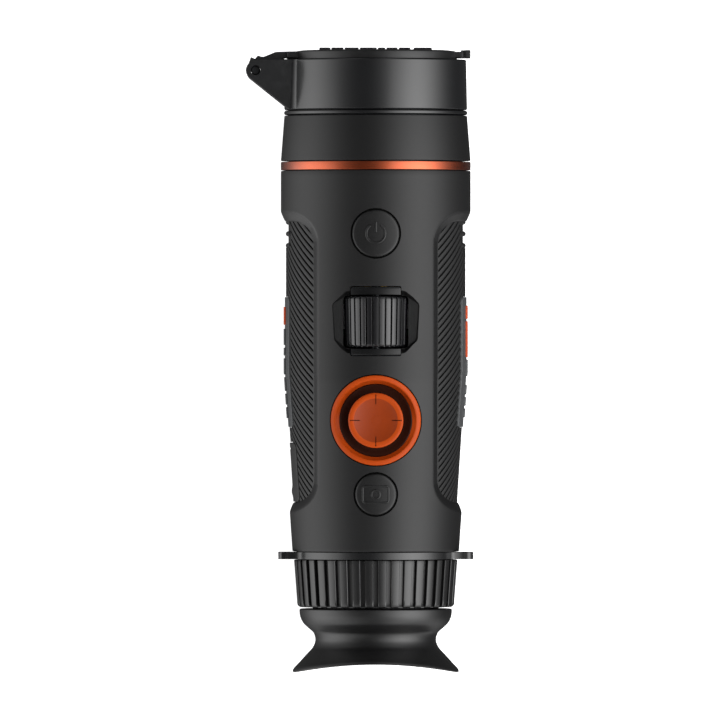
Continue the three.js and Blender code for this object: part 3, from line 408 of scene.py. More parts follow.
def noise(tree, coords, scale, detail=4.0, roughness=0.6, stretch=(1, 1, 1)):
    scales = [s * scale for s in stretch]
    mapping = add_node(tree, "Mapping", {"Vector": coords.outputs["Object"], "Scale": scales})
    inputs = {"Vector": mapping.outputs["Vector"], "Scale": 1.0, "Detail": detail, "Roughness": roughness}
    return add_node(tree, "TexNoise", inputs).outputs["Fac"]


def ramp(tree, source, low, high, start=0.3, end=0.7):
    """Takes values from start to end to values from low to high."""
    inputs = {"Value": source, "From Min": start, "From Max": end, "To Min": low, "To Max": high}
    return add_node(tree, "MapRange", inputs).outputs["Result"]


def math_node(tree, operation, first, second=None):
    inputs = {0: first} if second is None else {0: first, 1: second}
    return add_node(tree, "Math", inputs, operation=operation).outputs["Value"]


def mixed_color(tree, factor, first, second):
    inputs = {"Factor": factor, "A": first, "B": second}
    return add_node(tree, "Mix", inputs, data_type="RGBA").outputs["Result"]


def rgba(color, scale, lift=0.0):
    return [min(c * scale + lift, 1.0) for c in color] + [1.0]


LOOK = {}
CLOUD_SCALE = 60.0
WEAR_SCALE = 420.0
GRAIN_SCALE = 2.2


def finish(name, color, roughness, metallic=0.0, grain=2600, bump=0.3, depth=0.02, variation=0.12,
           stretch=(1, 1, 1), spread=0.06, coat=0.0, coat_roughness=0.1, specular=0.5, wear=0.0,
           transmission=0.0, ior=1.5):
    """A surface with colour variation, roughness breakup and a fine moulded or machined grain, and
    with paler worn edges where wear is given."""
    material, tree, shader = nodes_of(name)
    coords = add_node(tree, "TexCoord")
    cloud = ramp(tree, noise(tree, coords, CLOUD_SCALE, 5.0, 0.65), 0.0, 1.0)
    fine = noise(tree, coords, grain * GRAIN_SCALE, 3.0, 0.6, stretch)
    base = mixed_color(tree, cloud, rgba(color, 1 - variation), rgba(color, 1 + variation))
    if wear > 0.0:
        geometry = add_node(tree, "NewGeometry")
        edge = ramp(tree, geometry.outputs["Pointiness"], 0.0, 1.0, 0.52, 0.62)
        patches = ramp(tree, noise(tree, coords, WEAR_SCALE, 4.0, 0.7), 0.0, 1.0, 0.45, 0.65)
        amount = math_node(tree, "MULTIPLY", math_node(tree, "MULTIPLY", edge, patches), wear)
        base = mixed_color(tree, amount, base, rgba(color, 2.2, 0.05))
    feed(shader, {
        "Base Color": base,
        "Roughness": ramp(tree, fine, clamp(roughness - spread), clamp(roughness + spread)),
        "Metallic": metallic,
        "Specular IOR Level": specular,
        "Coat Weight": coat,
        "Coat Roughness": coat_roughness,
        "Transmission Weight": transmission,
        "IOR": ior,
    })
    if bump > 0.0:
        relief = add_node(tree, "Bump", {"Height": fine, "Strength": bump, "Distance": depth * MM})
        feed(shader, {"Normal": relief.outputs["Normal"]})
    LOOK[name] = material


TURNED = (0.06, 3.0, 0.06)
finish("soft_touch", (0.0048, 0.0048, 0.0050), 0.46, specular=0.38, wear=0.25)
# Paler and glossier copies of soft_touch for the grip's front end walls, as painted light, and a darker,
# duller copy for their rear end walls, as painted shade.
finish("lit_front_end", (0.0058, 0.0058, 0.0060), 0.42, bump=0.25, specular=0.7)
finish("lit_front_end_rim", (0.0053, 0.0053, 0.0055), 0.44, bump=0.28, specular=0.53)
finish("shaded_rear_end", (0.0044, 0.0044, 0.0046), 0.50, specular=0.26)
finish("grip_rubber", (0.0060, 0.0060, 0.0062), 0.55, grain=1800, bump=0.4, depth=0.03, specular=0.46,
       wear=0.15)
finish("plate_grey", (0.050, 0.052, 0.054), 0.42, grain=2200, bump=0.2, depth=0.015, wear=0.3)
finish("badge_orange", (0.50, 0.055, 0.004), 0.42, grain=1800, bump=0.1, depth=0.01, variation=0.08,
       specular=0.3)
finish("anodised_orange", (0.38, 0.060, 0.012), 0.28, metallic=1.0, grain=1400, bump=0.25, depth=0.006,
       stretch=TURNED, variation=0.08, coat=0.8, coat_roughness=0.15)
finish("ring_paint", (0.0045, 0.0045, 0.0047), 0.42, grain=3000, bump=0.2, depth=0.012, specular=0.36,
       wear=0.35)
finish("diopter_black", (0.0050, 0.0050, 0.0052), 0.32, grain=3000, bump=0.2, depth=0.012, specular=0.6,
       wear=0.35)
finish("gloss_black", (0.005, 0.0052, 0.0058), 0.24, bump=0.05, depth=0.006, specular=0.55, coat=0.15,
       coat_roughness=0.2, spread=0.03, wear=0.15)
finish("matte_black", (0.007, 0.007, 0.0074), 0.36, grain=2200, bump=0.25, wear=0.2)
finish("saddle_black", (0.005, 0.0052, 0.0056), 0.24, grain=500, bump=0.05, depth=0.006, specular=0.32,
       spread=0.03, wear=0.2)
finish("button_rubber", (0.0050, 0.0050, 0.0052), 0.42, grain=2400, specular=0.38)
finish("wheel_black", (0.005, 0.005, 0.006), 0.22, bump=0.15, depth=0.01, specular=0.56, spread=0.04,
       wear=0.4)
finish("eyecup_rubber", (0.0045, 0.0045, 0.0047), 0.36, grain=1500, specular=0.56)
finish("stick_orange", (0.43, 0.054, 0.0035), 0.42, grain=2000, bump=0.12, depth=0.01, variation=0.06,
       specular=0.14)
# A darker copy of stick_orange for the cap's dish: painted shade in the hollow, with a little more grain of
# its own.
finish("shaded_dish_orange", (0.25, 0.031, 0.002), 0.45, grain=2000, bump=0.2, depth=0.015, variation=0.1,
       specular=0.2)
finish("boot_rubber", (0.024, 0.0042, 0.0008), 0.55, grain=1500, specular=0.15)
finish("dark_metal", (0.02, 0.021, 0.023), 0.38, metallic=0.5, grain=1300, bump=0.25, depth=0.01,
       stretch=TURNED)
finish("bare_metal", (0.55, 0.56, 0.58), 0.32, metallic=1.0, grain=1300, bump=0.25, depth=0.01,
       stretch=TURNED)
finish("steel", (0.50, 0.51, 0.53), 0.30, metallic=1.0, grain=1800, bump=0.2, depth=0.008)
finish("brass", (0.66, 0.44, 0.14), 0.30, metallic=1.0, grain=1500, bump=0.2, depth=0.008)
finish("optical_glass", (0.75, 0.86, 0.90), 0.03, grain=200, bump=0.0, variation=0.03, spread=0.01,
       transmission=0.9, ior=1.6, coat=0.5, coat_roughness=0.02)
finish("germanium", (0.10, 0.105, 0.16), 0.08, metallic=0.85, grain=300, bump=0.02, depth=0.004,
       spread=0.02, coat=0.6, coat_roughness=0.03)
finish("circuit_board", (0.02, 0.13, 0.05), 0.35, grain=900)
finish("battery_wrap", (0.03, 0.14, 0.42), 0.3, grain=600, bump=0.1)
finish("inner_frame", (0.05, 0.052, 0.055), 0.55, grain=1800, bump=0.25)

SLOT_OF = {entry["node"]: entry["material_slot"] for entry in frame["record"]["subparts"]}
BODY_OF = {
    node: body for body, members in frame["record"]["behaviour"]["bodies"].items() for node in members
}


def trim(obj, body, slot, look=None):
    """Gives a piece its body and its material: the look's if one is given, else the slot's. On its own it
    stands for no CAD node.
    """
    obj.data.materials.clear()
    obj.data.materials.append(LOOK[look or slot])
    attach(obj, body)
    return obj


def settle(obj, node, slot=None, look=None):
    """Lets a piece stand for its CAD node."""
    trim(obj, BODY_OF[node], slot or SLOT_OF[node], look)
    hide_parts(node)
    return obj


# ---- main housing
COLUMNS = 720
WALL_SIDE, WALL_END = 3.0, 3.3
WALL_LAP, WALL_STEP = 0.12, 0.55
REAR_WALL_END, FRONT_WALL_START = 60.0, 136.0
BED_DEPTH, BED_RUN = 0.75, 0.2
RECESS_X, RECESS_CORNER = 17.8, 10.5
REAR_EDGE, FRONT_EDGE = 0.4, 0.35
FRONT_BORE, REAR_BORE, BORE_STEP = 26.1, 23.0, 146.0
OUTSIDE = 40.0  # past the surface


def depth_inside(qx, qy, corner):
    """Depth inside an area with round corners, from the distances past its corner's two centre lines."""
    return corner - hypot(max(qx, 0.0), max(qy, 0.0)) - min(max(qx, qy), 0.0)


def recess(st, theta):
    """Depth inside a grip's outline as a share of the wall that leads down to the grip, and how far
    that wall belongs to the grip's front or rear end (1) and not to its long sides (0)."""
    x = abs(body_radius(st) * sin(theta))
    mid, half = (GRIP_REAR + GRIP_FRONT) / 2, (GRIP_FRONT - GRIP_REAR) / 2
    qx = RECESS_X + RECESS_CORNER - x
    qy = abs(st - mid) - (half - RECESS_CORNER)
    depth = depth_inside(qx, qy, RECESS_CORNER)
    if depth <= 0:
        return 0.0, 0.0
    share = max(qy, 0.0) / (max(qx, 0.0) + max(qy, 0.0) + 1e-6)
    return depth / mix(WALL_SIDE, WALL_END, share ** 1.5), share


def recessed_radius(st, theta, edge):
    """The housing's radius: barrel, then a sloped wall with a soft upper edge, then the grip's bed."""
    t, share = recess(st, theta)
    soft = 0.35
    slope = t * t / (2 * soft) if t < soft else min(t, 1.0) - soft / 2
    foot = grip_radius(st) - WALL_LAP + WALL_STEP * share
    r = mix(body_radius(st) - edge, foot, slope / (1 - soft / 2))
    return r - clamp((t - 1.0) / BED_RUN) * (foot - grip_radius(st) + BED_DEPTH)


def housing_stations():
    """Stations along the housing, closer together where a grip's end walls are."""
    rows = [REAR, REAR + 0.08, REAR + 0.2, REAR + REAR_EDGE]
    st = REAR + 1.0
    while st < FRONT - 0.9:
        rows.append(st)
        walls = GRIP_REAR - 0.5 < st < REAR_WALL_END or FRONT_WALL_START < st < GRIP_FRONT + 0.5
        st += 0.3 if walls else 1.1
    return rows + [FRONT - FRONT_EDGE, FRONT - 0.12, FRONT]


def rounding(depth, radius):
    """How far a rounded edge stands back at a depth from its face."""
    return radius - sqrt(max(radius ** 2 - max(radius - depth, 0.0) ** 2, 0.0))


def housing_ring(st):
    edge = rounding(st - REAR, REAR_EDGE) + rounding(FRONT - st, FRONT_EDGE)
    ring = []
    for theta in full_turn(COLUMNS):
        r = recessed_radius(st, theta, edge)
        ring.append((r * sin(theta), st, r * cos(theta)))
    return ring


def housing():
    rings = [housing_ring(st) for st in housing_stations()]
    bore = [(FRONT_BORE, FRONT), (FRONT_BORE, BORE_STEP), (REAR_BORE, BORE_STEP), (REAR_BORE, REAR)]
    rings += around(bore, COLUMNS)
    body = loft("housing", rings, closed=True)
    stick = mid_station("joystick_cap")
    low_pocket = [(-9.0, 119.2), (9.0, 119.2), (13.5, 116.2), (12.7, 105.2), (9.0, 102.1), (-9.0, 102.1),
                  (-12.7, 105.2), (-13.5, 116.2)]
    high_pocket = [(-9.6, 121.7), (9.6, 121.7), (17.6, 117.6), (16.7, 103.8), (9.6, 99.6), (-9.6, 99.6),
                   (-16.7, 103.8), (-17.6, 117.6)]
    pocket = loft("cut_pocket", [
        [(x, st, 26.35) for x, st in round_corners(low_pocket, 1.6)],
        [(x, st, 31.0) for x, st in round_corners(high_pocket, 2.2)],
    ])
    slot = prism("cut_slot", panel(10.25, 102.4, 119.0, 1.6), 12.0, OUTSIDE)
    saddle_seat = prism("cut_saddles", panel(8.05, 99.9, 121.95, 0.7), 20.4, OUTSIDE)
    foot = grown(half_width("tripod_plate"), station("tripod_plate"), 0.12, 3.1)
    carve(body, [
        pocket,
        slot,
        saddle_seat,
        peg(14.52, 24.4, OUTSIDE, stick, 128),
        peg(10.2, 15.0, 25.0, stick),
        peg(7.97, 26.2, OUTSIDE, mid_station("power_button")),
        peg(7.05, 24.0, OUTSIDE, mid_station("photo_button")),
        prism("cut_foot", foot, -OUTSIDE, -27.4),
        peg(5.0, -OUTSIDE, -23.4, mid_station("tripod_bush"), 64),
        box("cut_usb", (-OUTSIDE, 57.8, -3.0), (-20.0, 68.4, 3.0)),
    ])
    settle(body, "main_housing")
    # Painted light on the grip's front end walls and painted shade on their rear end walls.
    paint_wall_light(body)


def paint_wall_light(body):
    """A grip's front end wall gets a paler, glossier copy of the housing's finish, as painted light, and
    its rear end wall a darker, duller one, as painted shade.
    """
    for look in ("lit_front_end_rim", "lit_front_end", "shaded_rear_end"):
        body.data.materials.append(LOOK[look])
    front_edge, front, rear = 1, 2, 3
    for face in body.data.polygons:
        x, y, z = face.center / MM
        st = y - TIP
        t, share = recess(st, atan2(x, z - AXIS_Z))
        if not (0.1 < t < 1.1 and share > 0.1 and abs(x) > 10.0):
            continue
        # Rear end wall: painted shade. Front end wall and its upper band: painted light.
        if st < (GRIP_REAR + GRIP_FRONT) / 2:
            face.material_index = rear
        else:
            face.material_index = front if t > 0.35 and share > 0.4 else front_edge


# ---- grips
GROOVE_PITCH = 2.28
GROOVE_SLOPE = 0.78
GROOVE_DEPTH = 1.15
GROOVE_CORNER = 7.0
GROOVE_X, GROOVE_REAR, GROOVE_FRONT = 19.8, 53.3, 142.7
GROOVE_FADE = 0.45
GRIP_HALF_ANGLE = 58
ROW_OVERRUN = 30  # slanted rows start before the grip
GRIP_THICKNESS = 1.6


def grip_area():
    """The grip's outline seen from above, out to beyond its side."""
    low, high, corner = 19.1, 60.0, 7.5
    front, rear = GRIP_FRONT - WALL_END + 0.5, GRIP_REAR + WALL_END - 0.5
    corners = [(high, front), (low, front), (low, rear), (high, rear)]
    return round_corners(corners, [0, corner, corner, 0], 12)


def groove_share(side_x, st):
    """Fades the grooves out towards the grip's edge, which is left plain."""
    qx = GROOVE_X + GROOVE_CORNER - side_x
    qy = max(st - GROOVE_FRONT, GROOVE_REAR - st) + GROOVE_CORNER
    return clamp(depth_inside(qx, qy, GROOVE_CORNER) / GROOVE_FADE)


def grip(side):
    """A moulded pad with slanted grooves. Its rows run along the grooves, so their edges stay crisp."""
    name = "grip_right" if side > 0 else "grip_left"
    profile = [(0.0, -0.04), (0.2, 0.0), (0.32, 0.05), (0.36, 0.16), (0.385, 1.0), (0.615, 1.0),
               (0.64, 0.16), (0.68, 0.05), (0.8, 0.0)]
    columns = [GRIP_HALF_ANGLE * (2 * k / 128 - 1) for k in range(129)]

    def point(angle, st, r):
        return (side * r * cos(angle), st, r * sin(angle))

    rings = []
    for n in range(int((GRIP_FRONT - GRIP_REAR + 2 * ROW_OVERRUN + 4) / GROOVE_PITCH)):
        for phase, depth in profile:
            top, bottom = [], []
            for angle in map(radians, columns):
                row = GRIP_REAR - ROW_OVERRUN + (n + phase) * GROOVE_PITCH
                st = row - GROOVE_SLOPE * angle * GRIP_R
                r = grip_radius(st)
                cut = GROOVE_DEPTH * depth * groove_share(r * cos(angle), st)
                top.append(point(angle, st, r - cut))
                bottom.append(point(angle, st, r - GRIP_THICKNESS))
            rings.append(top + bottom[::-1])
    slab = loft(name, rings)
    mould = prism("mould", [(side * x, st) for x, st in grip_area()], -OUTSIDE, OUTSIDE)
    carve(slab, [mould], "INTERSECT")
    carve(slab, [
        seat(side, panel(9.0, 134.3, 143.9, 1.6), -0.75),
        seat(side, grown(plate_height(side), station("side_plate_right"), 0.1, 2.1), -0.72),
    ])
    if side < 0:
        carve(slab, [seat(side, grown(half_width("usb_cover", 2), station("usb_cover"), 0.22, 2.6), -3.0)])
    settle(slab, name)


def seat(side, outline, depth):
    """Cuts a seat of an outline in (h, station) down to a depth below the grip's surface."""
    return pad("cut_seat", outline, on_side(side), depth, 3.0, 0.02, steps=1, fills=6)


def plate_height(side):
    """Half the height of a side plate's raised face, which stops short of the plate's moulded-in rim."""
    return half_width("side_plate_right", 2) * (0.86 if side > 0 else 0.82)


def transverse_ribs(side):
    surface = on_side(side)

    def seated(h, st, offset):
        return surface(h, st, offset - 0.72)

    for n, st in enumerate((134.9, 138.6, 142.3)):
        path = [(-7.9 + 15.8 * k / 28, st) for k in range(29)]
        rib = ridge(f"rib_{'r' if side > 0 else 'l'}{n}", path, seated, 1.75, 0.85, sink=0.2)
        trim(rib, "body", "grip_rubber")


# ---- side plates, badges and USB cover
def side_plates():
    for side, name in ((-1, "side_plate_left"), (1, "side_plate_right")):
        outline = panel(plate_height(side), *station(name), 2.0)
        settle(pad(name, outline, on_side(side), -0.65, 0.4, 0.18, fills=10, steps=4), name)
    marks = {
        -1: [(80.3, 83.8), (84.6, 88.1), (88.9, 93.3), (94.1, 99.3), (100.1, 102.6), (103.4, 108.6)],
        1: [(80.6, 83.4), (84.2, 87.0), (87.8, 90.8), (93.6, 98.8)],
    }
    half = 4.2
    for side, bars in marks.items():
        for n, (low, high) in enumerate(bars):
            bar = pad(f"mark_{'r' if side > 0 else 'l'}{n}", panel(half, low, high, 0.5), on_side(side),
                      0.2, 0.8, 0.12, fills=4, steps=3)
            trim(bar, "body", "plate_grey")
    for node in ("badge_bar_left", "badge_bar_right_front", "badge_bar_right_rear"):
        surface = on_side(-1 if "left" in node else 1)
        bar = pad(node, panel(half, *station(node), 0.6), surface, 0.2, 0.8, 0.14, fills=4, steps=3)
        settle(bar, node)


def usb_cover():
    low, high = station("usb_cover")

    def pull_and_line(h, st):
        pull = exp(-((st - low - 3.2) ** 2) / 1.6) * exp(-(h ** 4) / 900.0)
        line = exp(-((st - high + 1.9) ** 2) / 0.06)
        return 0.35 * pull - 0.18 * line

    outline = panel(half_width("usb_cover", 2), low, high, 2.4)
    cover = pad("usb_cover", outline, on_side(-1), -1.0, 0.3, 0.25, fills=28, steps=4, shape=pull_and_line)
    settle(cover, "usb_cover")
    outline = round_corners([(-26.0, 59.6), (-23.3, 59.6), (-23.3, 67.4), (-26.0, 67.4)], 0.3)
    trim(bevel(prism("usb_plug", outline, -1.7, 1.7), 0.3), "usb_door", "grip_rubber")


def usb_socket():
    shell = box("usb_shell", (-22.6, 58.6, -1.6), (-15.6, 67.4, 1.6))
    carve(shell, [box("cut_socket", (-23.6, 58.95, -1.25), (-16.4, 67.05, 1.25))])
    settle(shell, "usb_port")
    tongue = box("usb_tongue", (-21.9, 59.9, -0.35), (-16.2, 66.1, 0.35))
    trim(bevel(tongue, 0.12), "body", "inner_frame")


# ---- buttons
def push_buttons():
    power, photo = mid_station("power_button"), mid_station("photo_button")
    for node, st in (("power_button", power), ("photo_button", photo)):
        cap = pad(node, circle(0, st, half_width(node)), on_top, -1.6, 0.05, 0.8, fills=10, steps=6)
        settle(cap, node)
    gap, radius = 32, 3.0
    arc = []
    for k in range(41):
        angle = radians(90 + gap + (360 - 2 * gap) * k / 40)
        arc.append((radius * cos(angle), power + radius * sin(angle)))

    def lifted(x, st, offset):
        return on_top(x, st, offset + 0.03)

    bar = [(0.0, power + 0.4 + 3.2 * k / 8) for k in range(9)]
    outline = panel(4.1, photo - 2.6, photo + 2.6, 1.0)
    lens = circle(0.0, photo, 1.35, 40)
    for name, path, width, height in (("power_arc", arc, 0.85, 0.34), ("power_bar", bar, 0.9, 0.34),
                                      ("photo_frame", outline, 0.75, 0.3), ("photo_lens", lens, 0.7, 0.3)):
        body = name[:5] + "_key"
        trim(ridge(name, path, lifted, width, height, closed=body == "photo_key"), body, "button_rubber")


# ---- joystick
def joystick():
    st = mid_station("joystick_cap")
    outer = half_width("joystick_bezel")
    turn = full_turn(128)

    def flat(r, h):
        return [(r * cos(a), st + r * sin(a), h) for a in turn]

    def on_skin(r, drop):
        return [(x, s, skin_height(x, s) + drop) for x, s, _ in flat(r, 0)]

    rings = [flat(r, h) for r, h in ((13.3, 25.4), (13.3, 24.5), (outer, 24.5))]
    rim = ((outer, -0.35), (outer - 0.05, -0.16), (outer - 0.2, -0.03), (outer - 0.4, 0.02), (13.2, 0.04),
           (12.85, 0.0), (12.65, -0.12))
    rings += [on_skin(r, drop) for r, drop in rim]
    lip, foot = rings[-1], 25.75
    for t, r in ((0.25, 12.5), (0.5, 12.2), (0.75, 11.9), (0.93, 11.62)):
        rings.append([(x, s, mix(top[2], foot, t)) for (x, s, _), top in zip(flat(r, 0), lip)])
    rings += [flat(11.5, foot), flat(11.5, 25.4)]
    settle(loft("joystick_bezel", rings, closed=True, sharp=40), "joystick_bezel")
    boot = [(4.6, 24.5), (13.1, 24.5), (13.1, 25.1), (11.45, 25.15), (11.4, 25.9), (11.2, 26.0),
            (10.6, 25.75), (9.9, 25.4), (9.2, 25.15), (8.4, 25.0), (7.4, 25.0), (6.6, 25.15), (5.8, 25.25),
            (4.6, 25.2)]
    settle(loft("joystick_boot", upright(boot, 0, st, 128), closed=True), "joystick_boot")
    joystick_cap(st)


def joystick_cap(st):
    bottom, top = (v - AXIS_Z for v in span("joystick_cap", 2))
    outline = [
        (0.02, 29.2), (1.75, 29.2), (1.75, bottom), (3.1, bottom), (3.1, 28.0), (7.6, 28.0), (8.1, 28.15),
        (8.5, 28.5), (8.65, 28.95), (8.65, top - 0.6), (8.56, top - 0.3), (8.35, top - 0.1), (8.05, top),
        (7.3, top - 0.02), (6.9, top - 0.08), (6.55, top - 0.24), (6.2, top - 0.38), (5.0, top - 0.72),
        (3.8, top - 0.96), (2.6, top - 1.12), (1.3, top - 1.22), (0.02, top - 1.25),
    ]
    cap = loft("joystick_cap", upright(outline, 0, st, 128))
    quarters = [turn * pi / 2 for turn in range(4)]
    cuts = []
    for angle in quarters:
        along = Vector((cos(angle), sin(angle)))
        side = Vector((-along.y, along.x)) * 0.14
        near, far = along * 5.0, along * 8.2
        corners = (near - side, far - side, far + side, near + side)
        cuts.append(prism("cut_tick", [(p.x, st + p.y) for p in corners], top - 0.95, top + 1.0))
    carve(cap, cuts)
    settle(cap, "joystick_cap")
    # The dish's faces take the darker orange copy: painted shade in the hollow.
    cap.data.materials.append(LOOK["shaded_dish_orange"])
    for face in cap.data.polygons:
        offset = Vector((face.center.x, face.center.y - (TIP + st) * MM))
        if offset.length < 6.85 * MM and face.center.z > (AXIS_Z + top - 1.2) * MM:
            face.material_index = 1

    def dished(x, s, offset):
        r = hypot(x, s - st)
        return (x, s, top + offset - (0.16 if r > 6.9 else 0.68))

    for n, angle in enumerate(quarters):
        path = [(r * cos(angle), st + r * sin(angle)) for r in (5.15, 6.2, 7.2, 8.05)]
        trim(ridge(f"tick_{n}", path, dished, 0.24, 0.08, sink=0.25), "stick_cap", "boot_rubber")


# ---- toothed rings
def toothed_rings(teeth, phases, profile, groove, height=0.0):
    """Rings for each (radius, station, groove share) of a profile around a ribbed wheel.
    phases lists (share of a pitch, share of the groove's depth)."""
    spokes = [(2 * pi * (n + phase) / teeth, depth) for n in range(teeth) for phase, depth in phases]
    rings = []
    for radius, st, share in profile:
        ring = []
        for angle, depth in spokes:
            r = radius - groove * depth * share
            ring.append((r * sin(angle), st, height + r * cos(angle)))
        rings.append(ring)
    return rings


def focus_wheel():
    low, high = station("focus_wheel")
    height = middle("focus_wheel", 2) - AXIS_Z
    front, rear, round_off = 10.0, 9.65, 0.8
    phases = [(-0.5, 1.0), (-0.39, 1.0), (-0.37, 0.08), (-0.34, 0.0), (-0.18, -0.02), (0.0, -0.03),
              (0.18, -0.02), (0.34, 0.0), (0.37, 0.08), (0.39, 1.0)]
    hub = [(1.6, 0.0, 0.0), (8.2, 0.0, 0.0), (8.6, 0.03, 0.1)]
    profile = [(r, low + depth, share) for r, depth, share in hub + [(9.0, 0.2, 0.45)]]
    for k in range(1, 6):
        a = k / 5 * pi / 2
        depth = 0.2 + 0.9 * (1 - cos(a))
        profile.append((rear - round_off * (1 - sin(a)), low + depth, 0.45 + 0.11 * k))
    for k in range(1, 9):
        profile.append((mix(rear, front, k / 9), mix(low + 1.2, high - 1.2, k / 9), 1.0))
    for k in range(6):
        a = (1 - k / 5) * pi / 2
        depth = 0.2 + 0.9 * (1 - cos(a))
        profile.append((front - round_off * (1 - sin(a)), high - depth, 1.0 - 0.11 * k))
    profile += [(r, high - depth, share) for r, depth, share in hub[::-1]]
    wheel = loft("focus_wheel", toothed_rings(30, phases, profile, 0.85, height), closed=True, sharp=38)
    settle(wheel, "focus_wheel")
    low, high = station("wheel_axle")
    axle = [(0.4, low), (1.3, low), (1.5, low + 0.2), (1.5, high - 0.2), (1.3, high), (0.4, high)]
    settle(loft("wheel_axle", around(axle, 48, height)), "wheel_axle", slot="dark_metal")


def rounded_block(name, outline, low, high, front_edge, rear_edge):
    """An outline in (x, h) drawn along the axis, with each end's rim rounded by its own radius."""
    rings = []
    for radius, end, sign in ((rear_edge, low, 1), (front_edge, high, -1)):
        rim = []
        for k in range(6):
            a = k / 5 * pi / 2
            loop = inset(outline, radius * (1 - sin(a)))
            rim.append([(x, end + sign * radius * (1 - cos(a)), h) for x, h in loop])
        rings += rim[::sign]
    return loft(name, rings)


def saddles():
    sharp, soft = 0.12, 0.62
    for node, edges in (("wheel_saddle_front", (soft, sharp)), ("wheel_saddle_rear", (sharp, soft))):
        low, high = station(node)
        wide = half_width(node)
        outline = [(-wide, 20.6), (wide, 20.6)]
        for k in range(25):
            x = wide * (1 - 2 * k / 24)
            outline.append((x, 4.7 + sqrt(26.0 ** 2 - x * x)))
        body = rounded_block(node, outline, low, high, *edges)
        carve(body, [loft("cut_axle", around([(1.6, low - 1), (1.6, high + 1)], 48, 23.5))])
        settle(body, node, look="saddle_black")


def diopter_ring():
    low, high = station("diopter_ring")
    rear, front, bore = 24.8, half_width("diopter_ring"), 20.25
    phases = [(-0.5, -0.02), (-0.3, 0.0), (-0.22, 0.04), (-0.19, 0.16), (-0.175, 1.0), (0.0, 1.05),
              (0.175, 1.0), (0.19, 0.16), (0.22, 0.04), (0.3, 0.0)]
    profile = [(bore, low, 0.0), (23.6, low, 0.0), (23.95, low + 0.04, 0.0), (24.4, low + 0.3, 0.3),
               (24.7, low + 0.7, 0.75), (rear + 0.03, low + 1.2, 1.0)]
    for k in range(1, 10):
        profile.append((mix(rear, front, k / 10), mix(low + 1.2, high - 0.3, k / 10), 1.0))
    profile += [(front, high - 0.35, 1.0), (front - 0.08, high - 0.1, 1.0), (front - 0.3, high, 1.0),
                (bore, high, 0.0)]
    ring = loft("diopter_ring", toothed_rings(38, phases, profile, 1.15), closed=True, sharp=38)
    settle(ring, "diopter_ring", look="diopter_black")


# ---- turned rings of the objective
def turned(node, profile, radii, segments=256, steps=5):
    settle(loft(node, around(round_corners(profile, radii, steps), segments), closed=True), node)


def hoop(node, inner, outer, radii):
    """A ring as long as its CAD node, with a rectangular section."""
    low, high = station(node)
    turned(node, [(inner, low), (outer, low), (outer, high), (inner, high)], radii)


OBJECTIVE_BORE = 26.05


def objective_rings():
    bore = OBJECTIVE_BORE
    hoop("accent_ring", bore, 30.0, [0, 0.18, 0.18, 0])
    low, high = station("objective_sleeve")
    turned("objective_sleeve", [(bore, low), (30.0, low), (28.9, high), (bore, high)], [0, 0.3, 0.35, 0])
    low, high = station("bead_ring")
    turned("bead_ring", [(bore, low), (28.5, low), (28.95, low + 0.32), (28.95, high - 0.32), (28.5, high),
                         (bore, high)], 0.12)
    low, high = station("front_lens_retainer")
    retainer = [(21.5, low), (23.35, low), (23.35, high), (22.6, high), (22.0, high - 0.5)]
    turned("front_lens_retainer", retainer, [0.1, 0, 0.1, 0.1, 0.1])
    hoop("front_oring", 22.2, 23.35, 0.3)
    barrel = [(17.0, 128.4), (22.7, 128.4), (22.7, 146.2), (25.9, 146.2), (25.9, 192.4), (25.5, 192.4),
              (24.0, 192.1), (23.5, 191.6), (23.5, 179.6), (21.4, 179.6), (21.4, 176.0), (22.5, 176.0),
              (22.5, 149.5), (17.0, 149.5)]
    turned("objective_barrel", barrel, 0.1)
    domed("front_lens", 23.3, 179.8, 183.4, 181.2, 186.6, 160)


NEAR_AXIS = 0.02  # stands for a radius of 0


def domed(node, radius, rim_rear, rim_front, rear, apex, segments=128):
    """A lens with two domed faces."""
    steps = [k / 9 for k in range(1, 9)]
    profile = [(NEAR_AXIS, rear)] + [(radius * t, mix(rear, rim_rear, t * t)) for t in steps]
    profile += [(radius, rim_rear), (radius, rim_front)]
    profile += [(radius * t, mix(apex, rim_front, t * t)) for t in steps[::-1]] + [(NEAR_AXIS, apex)]
    settle(loft(node, around(profile, segments)), node)


# ---- cap ring, bracket and lid
PIN_X = middle("hinge_pin", 0)
PIN_ST = mid_station("hinge_pin")
PIN_BORE = 1.55
PIN_REACH = 20.0


def arc_points(cx, cy, radius, start, end, steps):
    """Points along an arc between two angles in degrees."""
    angles = [radians(mix(start, end, k / steps)) for k in range(steps + 1)]
    return [(cx + radius * cos(a), cy + radius * sin(a)) for a in angles]


def cap_ring():
    low, high = station("cap_ring")
    bore = OBJECTIVE_BORE
    ring = [(bore, low), (28.55, low), (28.9, low + 0.35), (28.6, high - 0.3), (28.35, high), (bore, high)]
    turned("cap_ring", ring, [0, 0.15, 0.15, 0.15, 0.15, 0])
    half = 13.3
    outline = [(-24.5, high), (-37.6, high), (-38.3, high + 0.2), (-38.9, high + 0.45), (-39.4, high + 0.7)]
    outline += arc_points(PIN_X, PIN_ST, 3.1, 135, 229, 14)
    outline += [(-27.7, 178.0), (-24.5, 178.0)]
    bracket = bevel(prism("hinge_bracket", outline, -half, half), 0.28, 3, 40)
    carve(bracket, [
        box("cut_channel", (-45.0, 176.0, -6.4), (-32.8, 196.0, 6.4)),
        peg(PIN_BORE, -PIN_REACH, PIN_REACH, PIN_ST, 64, PIN_X),
        loft("cut_inner", around([(FRONT_BORE, 170.0), (FRONT_BORE, 200.0)])),
    ])
    trim(flatten(bracket), "body", "gloss_black")
    for side in (-1, 1):
        trim(bracket_fillet(side, half - 0.03, low + 0.3, high - 0.1), "body", "gloss_black")
    end = 11.2
    pin = [(NEAR_AXIS, -end), (1.2, -end), (1.45, 0.25 - end), (1.45, end - 0.25), (1.2, end),
           (NEAR_AXIS, end)]
    settle(loft("hinge_pin", upright(pin, PIN_X, PIN_ST, 48)), "hinge_pin", slot="dark_metal")


